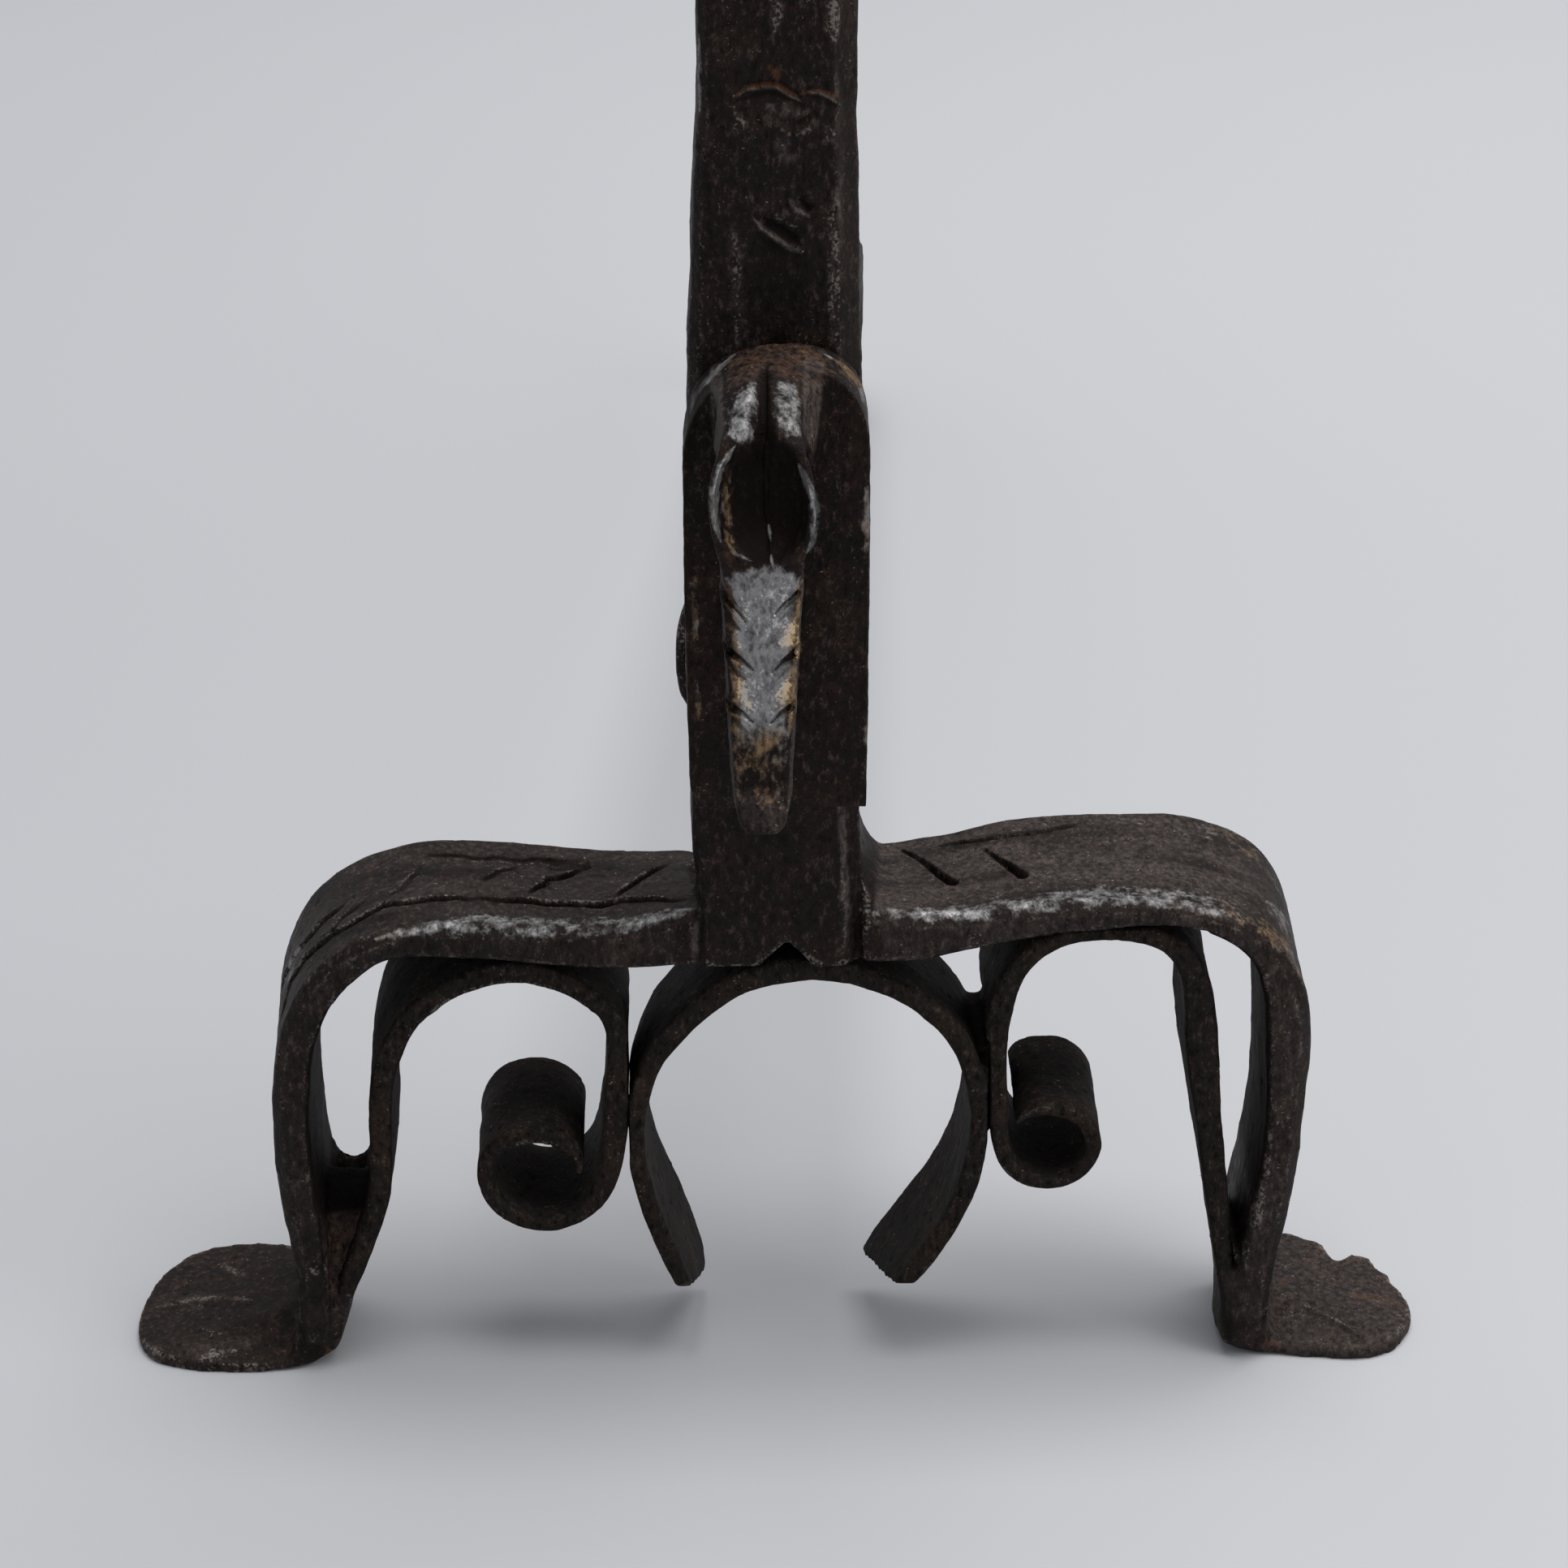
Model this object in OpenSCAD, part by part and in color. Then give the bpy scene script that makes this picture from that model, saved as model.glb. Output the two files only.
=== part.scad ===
// Hand-forged andiron: a flat upright split at its foot into two legs, with
// scroll straps and a horseshoe arch under them, a spit hook with a cupped,
// drooping tongue riveted on the front, and a log bar running to the rear.
// Millimetres. +Z up, the front faces -Y, the floor is Z = 0.

/* [Front standard] */
// Height of the top of the rolled eye above the floor
standard_h = 472; // [440:1:520]
// Depth of the upright bar, front to back
upright_d = 20; // [18:0.5:22]
// Depth of the flattened legs, front to back
leg_d = 42; // [40:0.5:46]
// Width of the chamfer along the forged corners
corner = 1.4; // [0.6:0.1:1.8]
// Width of the broad bevel on the legs' outer front corner
bevel = 2.6; // [1.8:0.1:3]
// Height of the pad that each leg stands on
pad_h = 8; // [6:0.5:10]

/* [Scroll straps and arch] */
// Depth of the scroll straps and of the arch, front to back
strap_d = 35; // [30:0.5:37]
// Setback of the straps behind the front of the legs
strap_back = 2; // [0:0.5:4]

/* [Spit hook] */
// Thickness of the hook's plate
plate_t = 11; // [9:0.5:12]
// Radius of the plate's round top, half the plate's width
plate_r = 20.5; // [19:0.5:22]
// Depth of the open cup in the hook
cup_depth = 8; // [4:0.5:9]
// Depth of the chisel-cut chevrons at the tongue's edges
chevron = 2.2; // [0.8:0.1:2.4]

/* [Log bar] */
// Distance from the upright's back to the rear leg
bar_l = 574; // [480:2:620]
// Width of the log bar
bar_w = 18; // [16:0.5:20]
// Height of the log bar's section
bar_h = 18.5; // [16:0.5:19]
// Sideways skew of the log bar, in degrees
bar_skew = 3.1; // [0:0.1:4]

/* [Rivets] */
// Diameter of the rivet shanks
rivet_d = 8; // [6:0.5:10]
// Diameter of the rivet heads
head_d = 14; // [12:0.5:18]
// Height of the rivet heads
head_h = 4; // [3:0.25:5]

/* [Hidden] */
$fn = 48;
front = -21;                      // front plane of the standard
upright_back = front + upright_d;
leg_back = front + leg_d;
strap_front = front + strap_back;
strap_rear = strap_front + strap_d;
plate_front = front - plate_t;
plate_top = 266.4;                // top of the plate's round end
plate_low = 159;                  // its straight lower edge
plate_x = -0.6;                   // the plate sits a hair to the left
palm_t = 6;                       // thickness of the log bar's palm
crotch_z = 111.6;                 // underside of the standard at the split
root_x = 19.5;                    // where a leg leaves the upright
root_gap = bar_w / 2 + 1.6;       // half the gap between the legs for the log bar
weld_left = -108;                 // seat of the left strap on its leg
weld_right = 111;                 // seat of the right strap on its leg
touch_left = -35.6;               // seat between the arch and the left scroll
touch_right = 49.8;               // seat between the arch and the right scroll
shoulder = 82;                    // top of the weld between arch and right scroll
seat_left = 112;                  // height of the left scroll's seat under its leg
seat_right = 119.4;               // height of the right scroll's seat
bar_z = crotch_z + bar_h / 2;     // centre of the log bar at its root
bar_end_z = 69;                   // centre of the log bar above the rear leg
rear_pad = 6;                     // thickness of the rear foot
rivet_x = -4;
rivet_z = [178, 197];
big = 400;
steps = 4;                        // loft rings between two stations

iron = [0.20, 0.18, 0.17];
iron_light = [0.30, 0.27, 0.25];

// ---- curves ----------------------------------------------------------------

// Catmull-Rom value between b and c, for numbers or vectors.
function blend(a, b, c, d, t) =
    b + 0.5 * t * (c - a + t * (2 * a - 5 * b + 4 * c - d + t * (3 * b - 3 * c + d - a)));

// Open curve through the stations s, with n steps in each span.
function curve(s, n) = [
    for (i = [0 : len(s) - 2]) for (k = [0 : n - 1])
        blend(s[max(i - 1, 0)], s[i], s[i + 1], s[min(i + 2, len(s) - 1)], k / n),
    s[len(s) - 1]];

// Closed curve through the stations s.
function loop(s, n) = let (m = len(s)) [
    for (i = [0 : m - 1]) for (k = [0 : n - 1])
        blend(s[(i + m - 1) % m], s[i], s[(i + 1) % m], s[(i + 2) % m], k / n)];

// Unit direction of the path p at point i, in its own plane.
function heading(p, i) =
    let (a = p[max(i - 1, 0)], b = p[min(i + 1, len(p) - 1)],
         d = [b[0] - a[0], b[1] - a[1]])
    d / norm(d);

// ---- lofts -----------------------------------------------------------------

// Closed solid through rings of equal size, with a flat cap at each end. Each
// cell between two rings is split along its shorter diagonal.
module loft(rings) {
    m = len(rings[0]);
    last = len(rings) - 1;
    points = [for (r = rings) for (p = r) p];
    polyhedron(
        points = points,
        faces = concat(
            [[for (j = [m - 1 : -1 : 0]) j]],
            [for (i = [0 : last - 1]) for (j = [0 : m - 1]) each
                let (a = i * m + j, b = i * m + (j + 1) % m, c = a + m, d = b + m)
                norm(points[b] - points[c]) < norm(points[a] - points[d])
                    ? [[a, b, c], [b, d, c]]
                    : [[a, b, d], [a, d, c]]],
            [[for (j = [0 : m - 1]) last * m + j]]),
        convexity = 8);
}

// One chamfered section of a flat bar, with bevel b on its outer front corner.
// s = [along, height, thickness, front, back, lift]: lift raises the outer face
// at the back, as a glancing blow does.
function bar_section(s, dir, c, b) =
    let (h = s[2] / 2, k = min(c, h * 0.45), j = min(b, h * 0.7),
         n = [-dir[1], dir[0]], lift = s[5])
    [for (q = [[h - j, s[3]], [h, s[3] + j], [h + lift, s[4] - k], [h + lift - k, s[4]],
               [k - h, s[4]], [-h, s[4] - k], [-h, s[3] + k], [k - h, s[3]]])
        [s[0] + n[0] * q[0], q[1], s[1] + n[1] * q[0]]];

// A flat bar forged along stations in the XZ plane. A station may carry its own
// front and back; the rest take those of the bar.
module flat_bar(stations, yf, yb, c, b) {
    full = [for (s = stations)
        [s[0], s[1], s[2], len(s) > 3 ? s[3] : yf, len(s) > 4 ? s[4] : yb,
         len(s) > 5 ? s[5] : 0]];
    p = curve(full, steps);
    loft([for (i = [0 : len(p) - 1]) bar_section(p[i], heading(p, i), c, b)]);
}

// ---- the standard ----------------------------------------------------------

// Upright stations: depth, height, thickness, right edge, left edge. The bar is
// swept in the YZ plane, then drawn thin and rolled forward into an eye.
module upright() {
    d = upright_d;
    mid = front + d / 2;
    top = standard_h;
    color(iron)
    difference() {
        rotate([0, 0, 90])
            flat_bar([
                [mid, crotch_z - 4, d, -19.6, 19.5],
                [mid, 127, d, -19.8, 18.8],
                [mid, 148, d, -18.8, 20.1],
                [mid, 210, d, -18.4, 20.3],
                [mid, 268, d, -18, 19.6],
                [mid, 304, d, -17.4, 18.4],
                [mid, 318, d, -16.8, 17.4],
                [mid, 343, d, -17, 17.2],
                [mid + 0.3, top - 88, d - 4, -16.6, 16.6],
                [mid + 0.5, top - 56, d - 9, -16.4, 16.4],
                [mid + 0.2, top - 32, 8.6, -16.6, 16.6],
                [mid - 3.6, top - 13.5, 7.2, -16.8, 16.8],
                [mid - 14, top - 3.2, 6.4, -17, 17],
                [mid - 25, top - 7.6, 6, -17, 17],
                [mid - 29.6, top - 18, 5.6, -17, 17],
                [mid - 25.4, top - 28, 5, -16.8, 16.8],
                [mid - 16.4, top - 30.8, 4.2, -16.6, 16.6],
                [mid - 9.6, top - 26, 3, -16.4, 16.4]],
                -18, 18, 2.2, 4.8);
        // flat underside, and the notch where the two halves part
        translate([-big / 2, -big / 2, crotch_z - big])
            cube([big, big, big]);
        translate([1.8, 0, crotch_z])
            rotate([0, 45, 0])
                cube([9.6, big, 9.6], center = true);
        for (side = [-1, 1])
            translate([side * (root_x + 5), 0, crotch_z])
                cube([10, big, 46], center = true);
        rivet_holes();
    }
}

// Leg stations: distance, height, thickness, front, back, lift at the back.
module left_leg() {
    color(iron)
    difference() {
        flat_bar([
            [-112, 4, 8.6, front, leg_back - 4],
            [-111.8, 20, 8.2, front, leg_back - 2],
            [-112.4, 34, 8.6],
            [-114.4, 50, 8.8],
            [-115.2, 66, 8.8],
            [-114.6, 80, 9, front, leg_back, 0.8],
            [-112.8, 92, 8.8, front, leg_back, 1.6],
            [-108.2, 103.2, 8.4, front, leg_back, 2],
            [-100.6, 111.8, 8.2, front, leg_back, 2],
            [-92, 116.8, 7.4, front, leg_back, 2],
            [-80, 118.4, 8.4, front, leg_back, 2],
            [-60, 117.3, 9.6, front, leg_back, 1.2],
            [-42, 116, 10.8],
            [-30, 117, 12, front, leg_back, -1.8],
            [-19.5, 118.5, 13.6, front, leg_back, -4.4],
            [-14, 118.6, 14, front, leg_back - 12, -4.4],
            [-9, 118.6, 14, front, upright_back, -4]],
            front, leg_back, corner, bevel);
        upright_seat();
        scroll_seat(-71, 15, seat_left);
        translate([weld_left, -big / 2, 0])
            cube([40, big, 40]);
        translate([-130, -big / 2, pad_h - 40])
            cube([40, big, 40]);
    }
}

module right_leg() {
    color(iron)
    difference() {
        union() {
            flat_bar([
                [9, 119, 14, front, upright_back, -4],
                [14, 119, 14, front, leg_back - 12, -4.6],
                [20, 119.2, 13.6, front, leg_back, -4.6],
                [30, 118.4, 12.2, front, leg_back, -1.8],
                [42, 119.2, 9.8, front, leg_back, 0.8],
                [56, 121.8, 9, front, leg_back, 2.4],
                [72, 123.2, 7.4, front, leg_back, 3.2],
                [88, 123.7, 6, front, leg_back, 3.6],
                [98, 122.2, 6, front, leg_back, 3.8],
                [108.2, 117.8, 7, front, leg_back, 3.2],
                [114.8, 111.2, 7.8, front, leg_back, 2],
                [118.6, 101, 9.6, front, leg_back, 0.6],
                [119.9, 88, 10.6],
                [120.1, 74, 9.8, front, leg_back - 2],
                [119.3, 57, 9, front, leg_back - 3],
                [117.4, 42, 8.8, front, leg_back - 3],
                [115.6, 30, 9.2, front, leg_back - 3],
                [114.8, 18, 8.2, front, leg_back - 4],
                [114.6, 4, 7.8, front, leg_back - 4]],
                front, leg_back, corner, bevel);
            root_fillet();
        }
        upright_seat();
        scroll_seat(64, 36, seat_right);
        translate([weld_right - 40, -big / 2, 0])
            cube([40, big, 36]);
        translate([100, -big / 2, pad_h - 40])
            cube([40, big, 40]);
    }
}

// Hollow fillet left in the right-hand corner between upright and leg.
module root_fillet() {
    x = root_x;
    translate([0, leg_back - 2, 0])
        rotate([90, 0, 0])
            linear_extrude(height = leg_d - 4)
                polygon([[x - 1, 117], [x - 1, 134], [x, 134], [x + 0.5, 131],
                         [x + 1.6, 127.6], [x + 3.2, 124.8], [x + 5.6, 122.6],
                         [x + 8, 121.4], [x + 8, 117]]);
}

// Room for the upright and for the log bar behind it, in a leg's root.
module upright_seat() {
    translate([-root_x, front - big, 0])
        cube([2 * root_x, big + upright_d, big]);
    translate([-root_gap, -big / 2, 0])
        cube([2 * root_gap, big, big]);
}

// Flat that a scroll's crown bears against, under a leg.
module scroll_seat(x, w, z) {
    translate([x, -big / 2, z - 4])
        cube([w, big, 4]);
}

// Foot hammered flat: a pad under the leg that thins to the outer edge, and
// more steeply to the front.
module foot(outline, side, edge) {
    difference() {
        linear_extrude(height = pad_h)
            polygon(loop(outline, 3));
        translate([side * edge, 0, pad_h])
            rotate([0, side * atan((pad_h - 3) / 38), 0])
                translate([side > 0 ? 0 : -big, -big / 2, 0])
                    cube([big, big, big]);
        translate([side > 0 ? edge : -edge - big, -2, pad_h])
            rotate([atan((pad_h - 2.4) / 18), 0, 0])
                translate([0, -big, 0])
                    cube([big, big, big]);
    }
}

// Flat round foot.
module left_foot() {
    color(iron)
    foot([
        [-107.8, -9], [-110.6, -16.4], [-118, -20], [-131, -20.2], [-144, -18.6],
        [-152, -15], [-156.4, -7.4], [-157, 2], [-155.4, 12.4], [-151.4, 21.6],
        [-144, 28], [-134, 29.6], [-124, 27], [-115, 20], [-109, 8]],
        -1, 118);
}

// Scalloped, leaf-shaped foot.
module right_foot() {
    color(iron)
    foot([
        [108.4, -9], [112, -16.6], [120, -17.8], [131, -18.8], [141, -19.8],
        [148.6, -17], [153.8, -10], [155.8, -3], [154.6, 4.6], [152.6, 9.6],
        [152.2, 13], [149.6, 15], [148, 19.4], [144.2, 20.2], [141.6, 18],
        [139.2, 17], [137.8, 20.4], [136.2, 24.6], [131.8, 26.4], [127, 28],
        [119, 23], [112, 14], [108.8, 4]],
        1, 120);
}

// ---- scrolls and arch ------------------------------------------------------

// The strap rises from the foot, bends under the leg, drops, and rolls up into
// an open barrel.
module left_scroll() {
    color(iron_light)
    difference() {
        union() {
            flat_bar([
                [-107.6, 2, 2.8, strap_front, strap_front + 14],
                [-106.8, 14, 4, strap_front, strap_front + 20],
                [-103.4, 24, 5.4, strap_front, strap_rear - 6], [-98.8, 36, 5.6],
                [-95.6, 46, 5.4], [-94.4, 58, 5.8], [-94.3, 70, 6.2],
                [-92.6, 83, 5.8, strap_front, strap_rear, 1],
                [-87.4, 95, 5, strap_front, strap_rear, 3],
                [-80.2, 102.8, 4.4, strap_front, strap_rear, 2.4], [-72, 107.4, 4.6],
                [-62.5, 109.6, 5.4], [-51.5, 107.2, 4.6], [-43.2, 101.4, 4.6],
                [-38.8, 94.6, 5.4], [-37.7, 86, 5.8], [-38.2, 76, 6], [-38.8, 64, 6],
                [-40.6, 53.6, 5.6], [-44, 46, 4.8], [-49.6, 41.4, 4.4],
                [-56.4, 40, 4.2], [-63, 42.2, 4.2], [-68, 47.6, 4.2], [-69.8, 54, 4.2],
                [-68.4, 60, 4], [-64.2, 64.2, 3.8], [-57.6, 65.8, 3.6], [-51.6, 63.8, 3.2],
                [-48, 59.2, 2.6], [-47.4, 54.4, 1.8]],
                strap_front, strap_rear, 1, 1);
            weld_web([[weld_left - 2, 4], [-107, 4], [-103.4, 24], [-98.8, 36],
                      [-96, 47], [weld_left - 2, 47]], 12, 46, -103.8, 4.4);
        }
        translate([weld_left - 20, -big / 2, 0])
            cube([20, big, 60]);
        translate([touch_left, -big / 2, 50])
            cube([20, big, 40]);
        translate([-100, -big / 2, seat_left])
            cube([80, big, 10]);
        translate([-130, -big / 2, pad_h - 40])
            cube([40, big, 40]);
    }
}

module right_scroll() {
    color(iron_light)
    difference() {
        union() {
            flat_bar([
                [109.4, 2, 4, strap_front, strap_front + 14],
                [109.2, 14, 4.2, strap_front, strap_front + 18],
                [107.2, 28, 4.8, strap_front, strap_rear - 8], [104.8, 46, 5.2],
                [103, 60, 6.4], [101.4, 72, 7.2], [99.9, 85, 7.8], [98.9, 97, 7],
                [97.2, 106, 6.2], [92.4, 114, 5.4], [84.6, 117.6, 5],
                [75.6, 118.4, 4.4], [66.6, 117, 4.6], [59.4, 113, 5], [54.6, 106.6, 5.6],
                [52.2, 98.6, 5.6], [51.3, 89, 5.2], [51.8, 76, 5], [52.2, 66, 4.8],
                [53.6, 58.4, 4.4], [57.4, 52.8, 4], [64.4, 50.2, 3.8], [71, 52.6, 4.2],
                [74.8, 58.8, 4.4], [73.6, 65.4, 4.2], [69, 69.6, 3.6], [62.8, 70.6, 2.8],
                [58.4, 69.2, 2.2], [56.2, 66.9, 1.4]],
                strap_front, strap_rear, 1, 1);
            weld_web([[weld_right + 2, 4], [109.4, 4], [107.2, 28], [105.6, 40],
                      [weld_right + 2, 40]], 17, 24);
        }
        translate([weld_right, -big / 2, 0])
            cube([20, big, 60]);
        translate([touch_right - 20, -big / 2, 50])
            cube([20, big, 40]);
        translate([40, -big / 2, seat_right])
            cube([50, big, 10]);
        translate([90, -big / 2, pad_h - 40])
            cube([40, big, 40]);
    }
}

// Filling of the forge weld between a strap and its leg, bounded in XZ by the
// outline: its top climbs from z_low at the front to z_high at the rear, with a
// round hollow of radius r at x along it.
module weld_web(outline, z_low, z_high, x = 0, r = 0) {
    difference() {
        intersection() {
            translate([0, strap_rear, 0])
                rotate([90, 0, 0])
                    linear_extrude(height = strap_d - 1)
                        polygon(outline);
            rotate([90, 0, 90])
                linear_extrude(height = 2 * big, center = true)
                    polygon([[strap_front, 0], [strap_rear, 0],
                             [strap_rear, z_high], [strap_front, z_low]]);
        }
        if (r > 0)
            translate([x, strap_front, z_low])
                rotate([atan2(z_high - z_low, strap_d) - 90, 0, 0])
                    cylinder(r = r, h = 4 * strap_d, center = true, $fn = 28);
    }
}

// Horseshoe strap, forge-welded under the split. Its ends are chopped at a
// slant and stop short of the floor.
module centre_arch() {
    color(iron_light)
    difference() {
        union() {
            flat_bar([
                [-18.8, 4, 2.8], [-20.8, 15.6, 3.6], [-24.9, 27.5, 4.4], [-29, 38.6, 5],
                [-32.2, 50, 5], [-34, 61.5, 4.8],
                [-33.4, 72, 4.8, strap_front, strap_rear, -1],
                [-29.8, 84, 5.2, strap_front, strap_rear, -2],
                [-24.6, 92, 5.8, strap_front, strap_rear, -2.4],
                [-17.6, 99.6, 6, strap_front, strap_rear, -2], [-8, 106.2, 6],
                [5.4, 109.2, 5.8], [14, 108.4, 5.6], [21, 106, 5.2],
                [29, 102.4, 5, strap_front, strap_rear, -1.6],
                [36.2, 97, 5, strap_front, strap_rear, -2],
                [42, 90.2, 5.2, strap_front, strap_rear, -2],
                [45.4, 81.8, 5, strap_front, strap_rear, -1], [47.2, 73, 5],
                [47.6, 65, 5], [46.4, 56, 5], [44.4, 48, 4.8], [41.4, 40.4, 4.8],
                [37.4, 33, 4.8], [32.6, 25.6, 4.8], [27.8, 18.6, 4.6],
                [23.6, 11.6, 4.4], [21, 4, 4.2]],
                strap_front, strap_rear, 1, 1);
            weld_web([[46, 66], [touch_right, 66], [touch_right, shoulder],
                      [47, shoulder]], shoulder, shoulder);
        }
        translate([-big / 2, -big / 2, crotch_z])
            cube([big, big, 20]);
        translate([touch_left - 20, -big / 2, 50])
            cube([20, big, 40]);
        translate([touch_right, -big / 2, 50])
            cube([20, big, 40]);
        chopped_end(-1, 22.5, 25);
        chopped_end(1, 22.5, 19);
    }
}

// Slanting cut at the foot of one arm, from z at the front down to the rear.
module chopped_end(side, z, slant) {
    translate([side * 30, strap_front, z])
        rotate([-slant, 0, 0])
            translate([-30, -20, -60])
                cube([60, big, 60]);
}

// ---- spit hook -------------------------------------------------------------

// Tongue stations: depth and height of the front face, half width, thickness,
// cleft, cup, crown and half width of the rear face. Cleft, cup and crown shape
// the front of the section.
tongue = [
    [-23, 257.8, 13.6, 20, 0, 0, 8.2, 10],
    [-29, 258.6, 13, 19, 0, 0, 7.4, 10],
    [-33, 260, 11.6, 18, 0.2, 0, 6.2, 10.2],
    [-37, 261.8, 9.8, 17, 1, 0, 4.4, 10.6],
    [-42, 262, 8.8, 15.4, 2.2, 0, 3.2, 10.8],
    [-47, 260.2, 8.4, 13, 3.4, 0, 2.4, 10.6],
    [-51, 257.6, 8.6, 11.6, 4.2, 0.1, 1.4, 10.2],
    [-53.4, 254.8, 9.4, 11.2, 2.6, 0.6, 0.5, 10],
    [-55, 251, 10.8, 11.5, 0, 0.9, 0, 10],
    [-56.2, 245.4, 11.7, 12, 0, 1, 0, 10.6],
    [-56.4, 239, 11.3, 12, 0, 1, 0, 10.2],
    [-55.6, 233.4, 10.2, 11, 0, 0.75, 0.2, 9.2],
    [-54.4, 229.8, 9.2, 10, 0, 0.1, 0.7, 9.6],
    [-53.6, 226, 8.6, 9, 0, 0, 0.9, 9.6],
    [-53.2, 219, 8.3, 8.5, 0, 0, 1, 9.4],
    [-53, 208, 7.8, 8, 0, 0, 1, 8.9],
    [-53.6, 195, 7.1, 7.4, 0, 0, 0.9, 8.2],
    [-55.2, 181, 6.4, 6.8, 0, 0, 0.8, 7.4],
    [-57, 172, 5.8, 6, 0, 0, 0.8, 6.6],
    [-58, 167.6, 5, 4.6, 0, 0, 0.6, 4.8],
    [-58.4, 165.8, 3, 3, 0, 0, 0.3, 2.8]];

// Height of the front face above the side edges, at u from -1 to 1 across it.
function face_height(s, u) =
    s[6] * (1 - u * u)
    - s[4] * max(0, 1 - abs(u) / (0.14 + 0.05 * s[4]))
    - s[5] * cup_depth * pow(max(0, 1 - u * u / (0.74 * max(0.01, s[5]))), 0.5);

// One section of the tongue, square to the path in the YZ plane.
function tongue_section(s, dir) =
    let (n = [dir[1], -dir[0]], m = 16)
    concat(
        [for (i = [0 : m]) let (u = 2 * i / m - 1, h = face_height(s, u))
            [neck_x(s[0]) + u * s[2], s[0] + n[0] * h, s[1] + n[1] * h]],
        [for (u = [0.96, 0.55, 0, -0.55, -0.96]) let (h = -s[3] * (1 - 0.22 * u * u))
            [neck_x(s[0]) + u * s[7], s[0] + n[0] * h, s[1] + n[1] * h]]);

// The tongue hangs left of the plate's middle; its neck leads over to it.
hook_x = -4.2;
function neck_x(y) = hook_x + 0.2 * max(0, y + 40);

chevron_z = [223, 209.5, 196];     // where the chisel marks meet its edges

module spit_hook() {
    p = curve(tongue, 3);
    color(iron_light)
    difference() {
        union() {
            hook_plate();
            loft([for (i = [0 : len(p) - 1]) tongue_section(p[i], heading(p, i))]);
        }
        for (z = chevron_z) for (side = [-1, 1])
            chisel_cut(side, z);
        rivet_holes();
        translate([-big / 2, front, 0])
            cube([big, big, big]);
    }
}

// Plate with a round top that leans down to the front.
module hook_plate() {
    r = plate_r;
    translate([plate_x, 0, 0])
        difference() {
            union() {
                for (c = [[0, 0, 0], [4.2, 4.6, 4.5], [-0.8, 1, 0.9]])
                    translate([c[0], front + 2, plate_top - r + c[1]])
                        rotate([90 + 12, 0, 0])
                            cylinder(r = r - c[2], h = plate_t + 8);
                translate([0, front, 0])
                    rotate([90, 0, 0])
                        linear_extrude(height = plate_t)
                            polygon([[2.8 - r, plate_low], [r - 0.4, plate_low],
                                     [r, plate_low + 30], [r, plate_top - r],
                                     [-r, plate_top - r], [-r, plate_low + 50],
                                     [0.8 - r, plate_low + 5]]);
            }
            translate([-big / 2, plate_front - big, 0])
                cube([big, big, big]);
        }
}

// V-shaped chisel mark, deep at the tongue's edge, running in and down to
// nothing near the middle.
module chisel_cut(side, z) {
    half = 8.6 - (223 - z) * 0.045;
    edge_y = -53.3 - max(0, 209 - z) * 0.05;
    run = half - 2.4;
    translate([hook_x, 0, z])
        mirror([side < 0 ? 1 : 0, 0, 0])
            translate([half, edge_y + chevron, 0])
                rotate([0, -42, atan((chevron + 1) / run)])
                    rotate([-45, 0, 0])
                        translate([2 - 2.2 * run, -20, -20])
                            cube([2.2 * run, 20, 20]);
}

// ---- log bar ---------------------------------------------------------------

// Palm riveted to the upright, bar sloping to the rear, and a rear leg turned
// down onto a small flat foot.
module log_bar() {
    fall = (bar_z - bar_end_z) / (bar_l - 60);
    at = function (y) bar_z - fall * max(0, y - 20);
    color(iron)
    difference() {
        union() {
            rotate([0, 0, 90 - bar_skew])
                flat_bar([
                    [-6, bar_z, bar_h], [20, bar_z, bar_h], [60, at(60), bar_h],
                    [bar_l * 0.4, at(bar_l * 0.4), bar_h],
                    [bar_l * 0.7, at(bar_l * 0.7), bar_h],
                    [bar_l - 52, at(bar_l - 52), bar_h],
                    [bar_l - 30, at(bar_l - 38), bar_h - 0.5],
                    [bar_l - 12, 61, 17], [bar_l - 3, 47, 15], [bar_l - 1, 32, 13.5],
                    [bar_l, 16, 12.5], [bar_l, 2, 12]],
                    -bar_w / 2, bar_w / 2, 2, 2);
            palm();
            rotate([0, 0, -bar_skew])
                linear_extrude(height = rear_pad)
                    polygon(loop([
                        [-8, bar_l - 6], [0, bar_l - 8], [7, bar_l - 6],
                        [7.4, bar_l + 8], [7, bar_l + 22], [2, bar_l + 33],
                        [-5, bar_l + 35], [-12, bar_l + 33], [-16, bar_l + 22],
                        [-13, bar_l + 8]], 3));
        }
        translate([-big / 2, upright_back - big, 0])
            cube([big, big, big]);
        translate([-big / 2, 0, -big])
            cube([big, 2 * big, big]);
        rivet_holes();
    }
}

// Leaf-shaped palm, broadest low on its left side.
module palm() {
    translate([0, upright_back + palm_t, 0])
        rotate([90, 0, 0])
            linear_extrude(height = palm_t + 1)
                polygon(loop([
                    [-8.6, 122], [-9, 140], [-12, 158], [-20, 168], [-22.6, 173],
                    [-23.2, 182], [-21.8, 193], [-15, 205], [-4, 210], [8, 206],
                    [17, 194], [18.6, 182], [17, 168], [11, 154], [9, 140],
                    [8.6, 122]], 3));
}

// ---- rivets ----------------------------------------------------------------

module at_rivets() {
    for (z = rivet_z)
        translate([rivet_x, 0, z])
            children();
}

module rivet_holes() {
    at_rivets()
        rotate([90, 0, 0])
            cylinder(d = rivet_d, h = 100, center = true);
}

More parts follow.
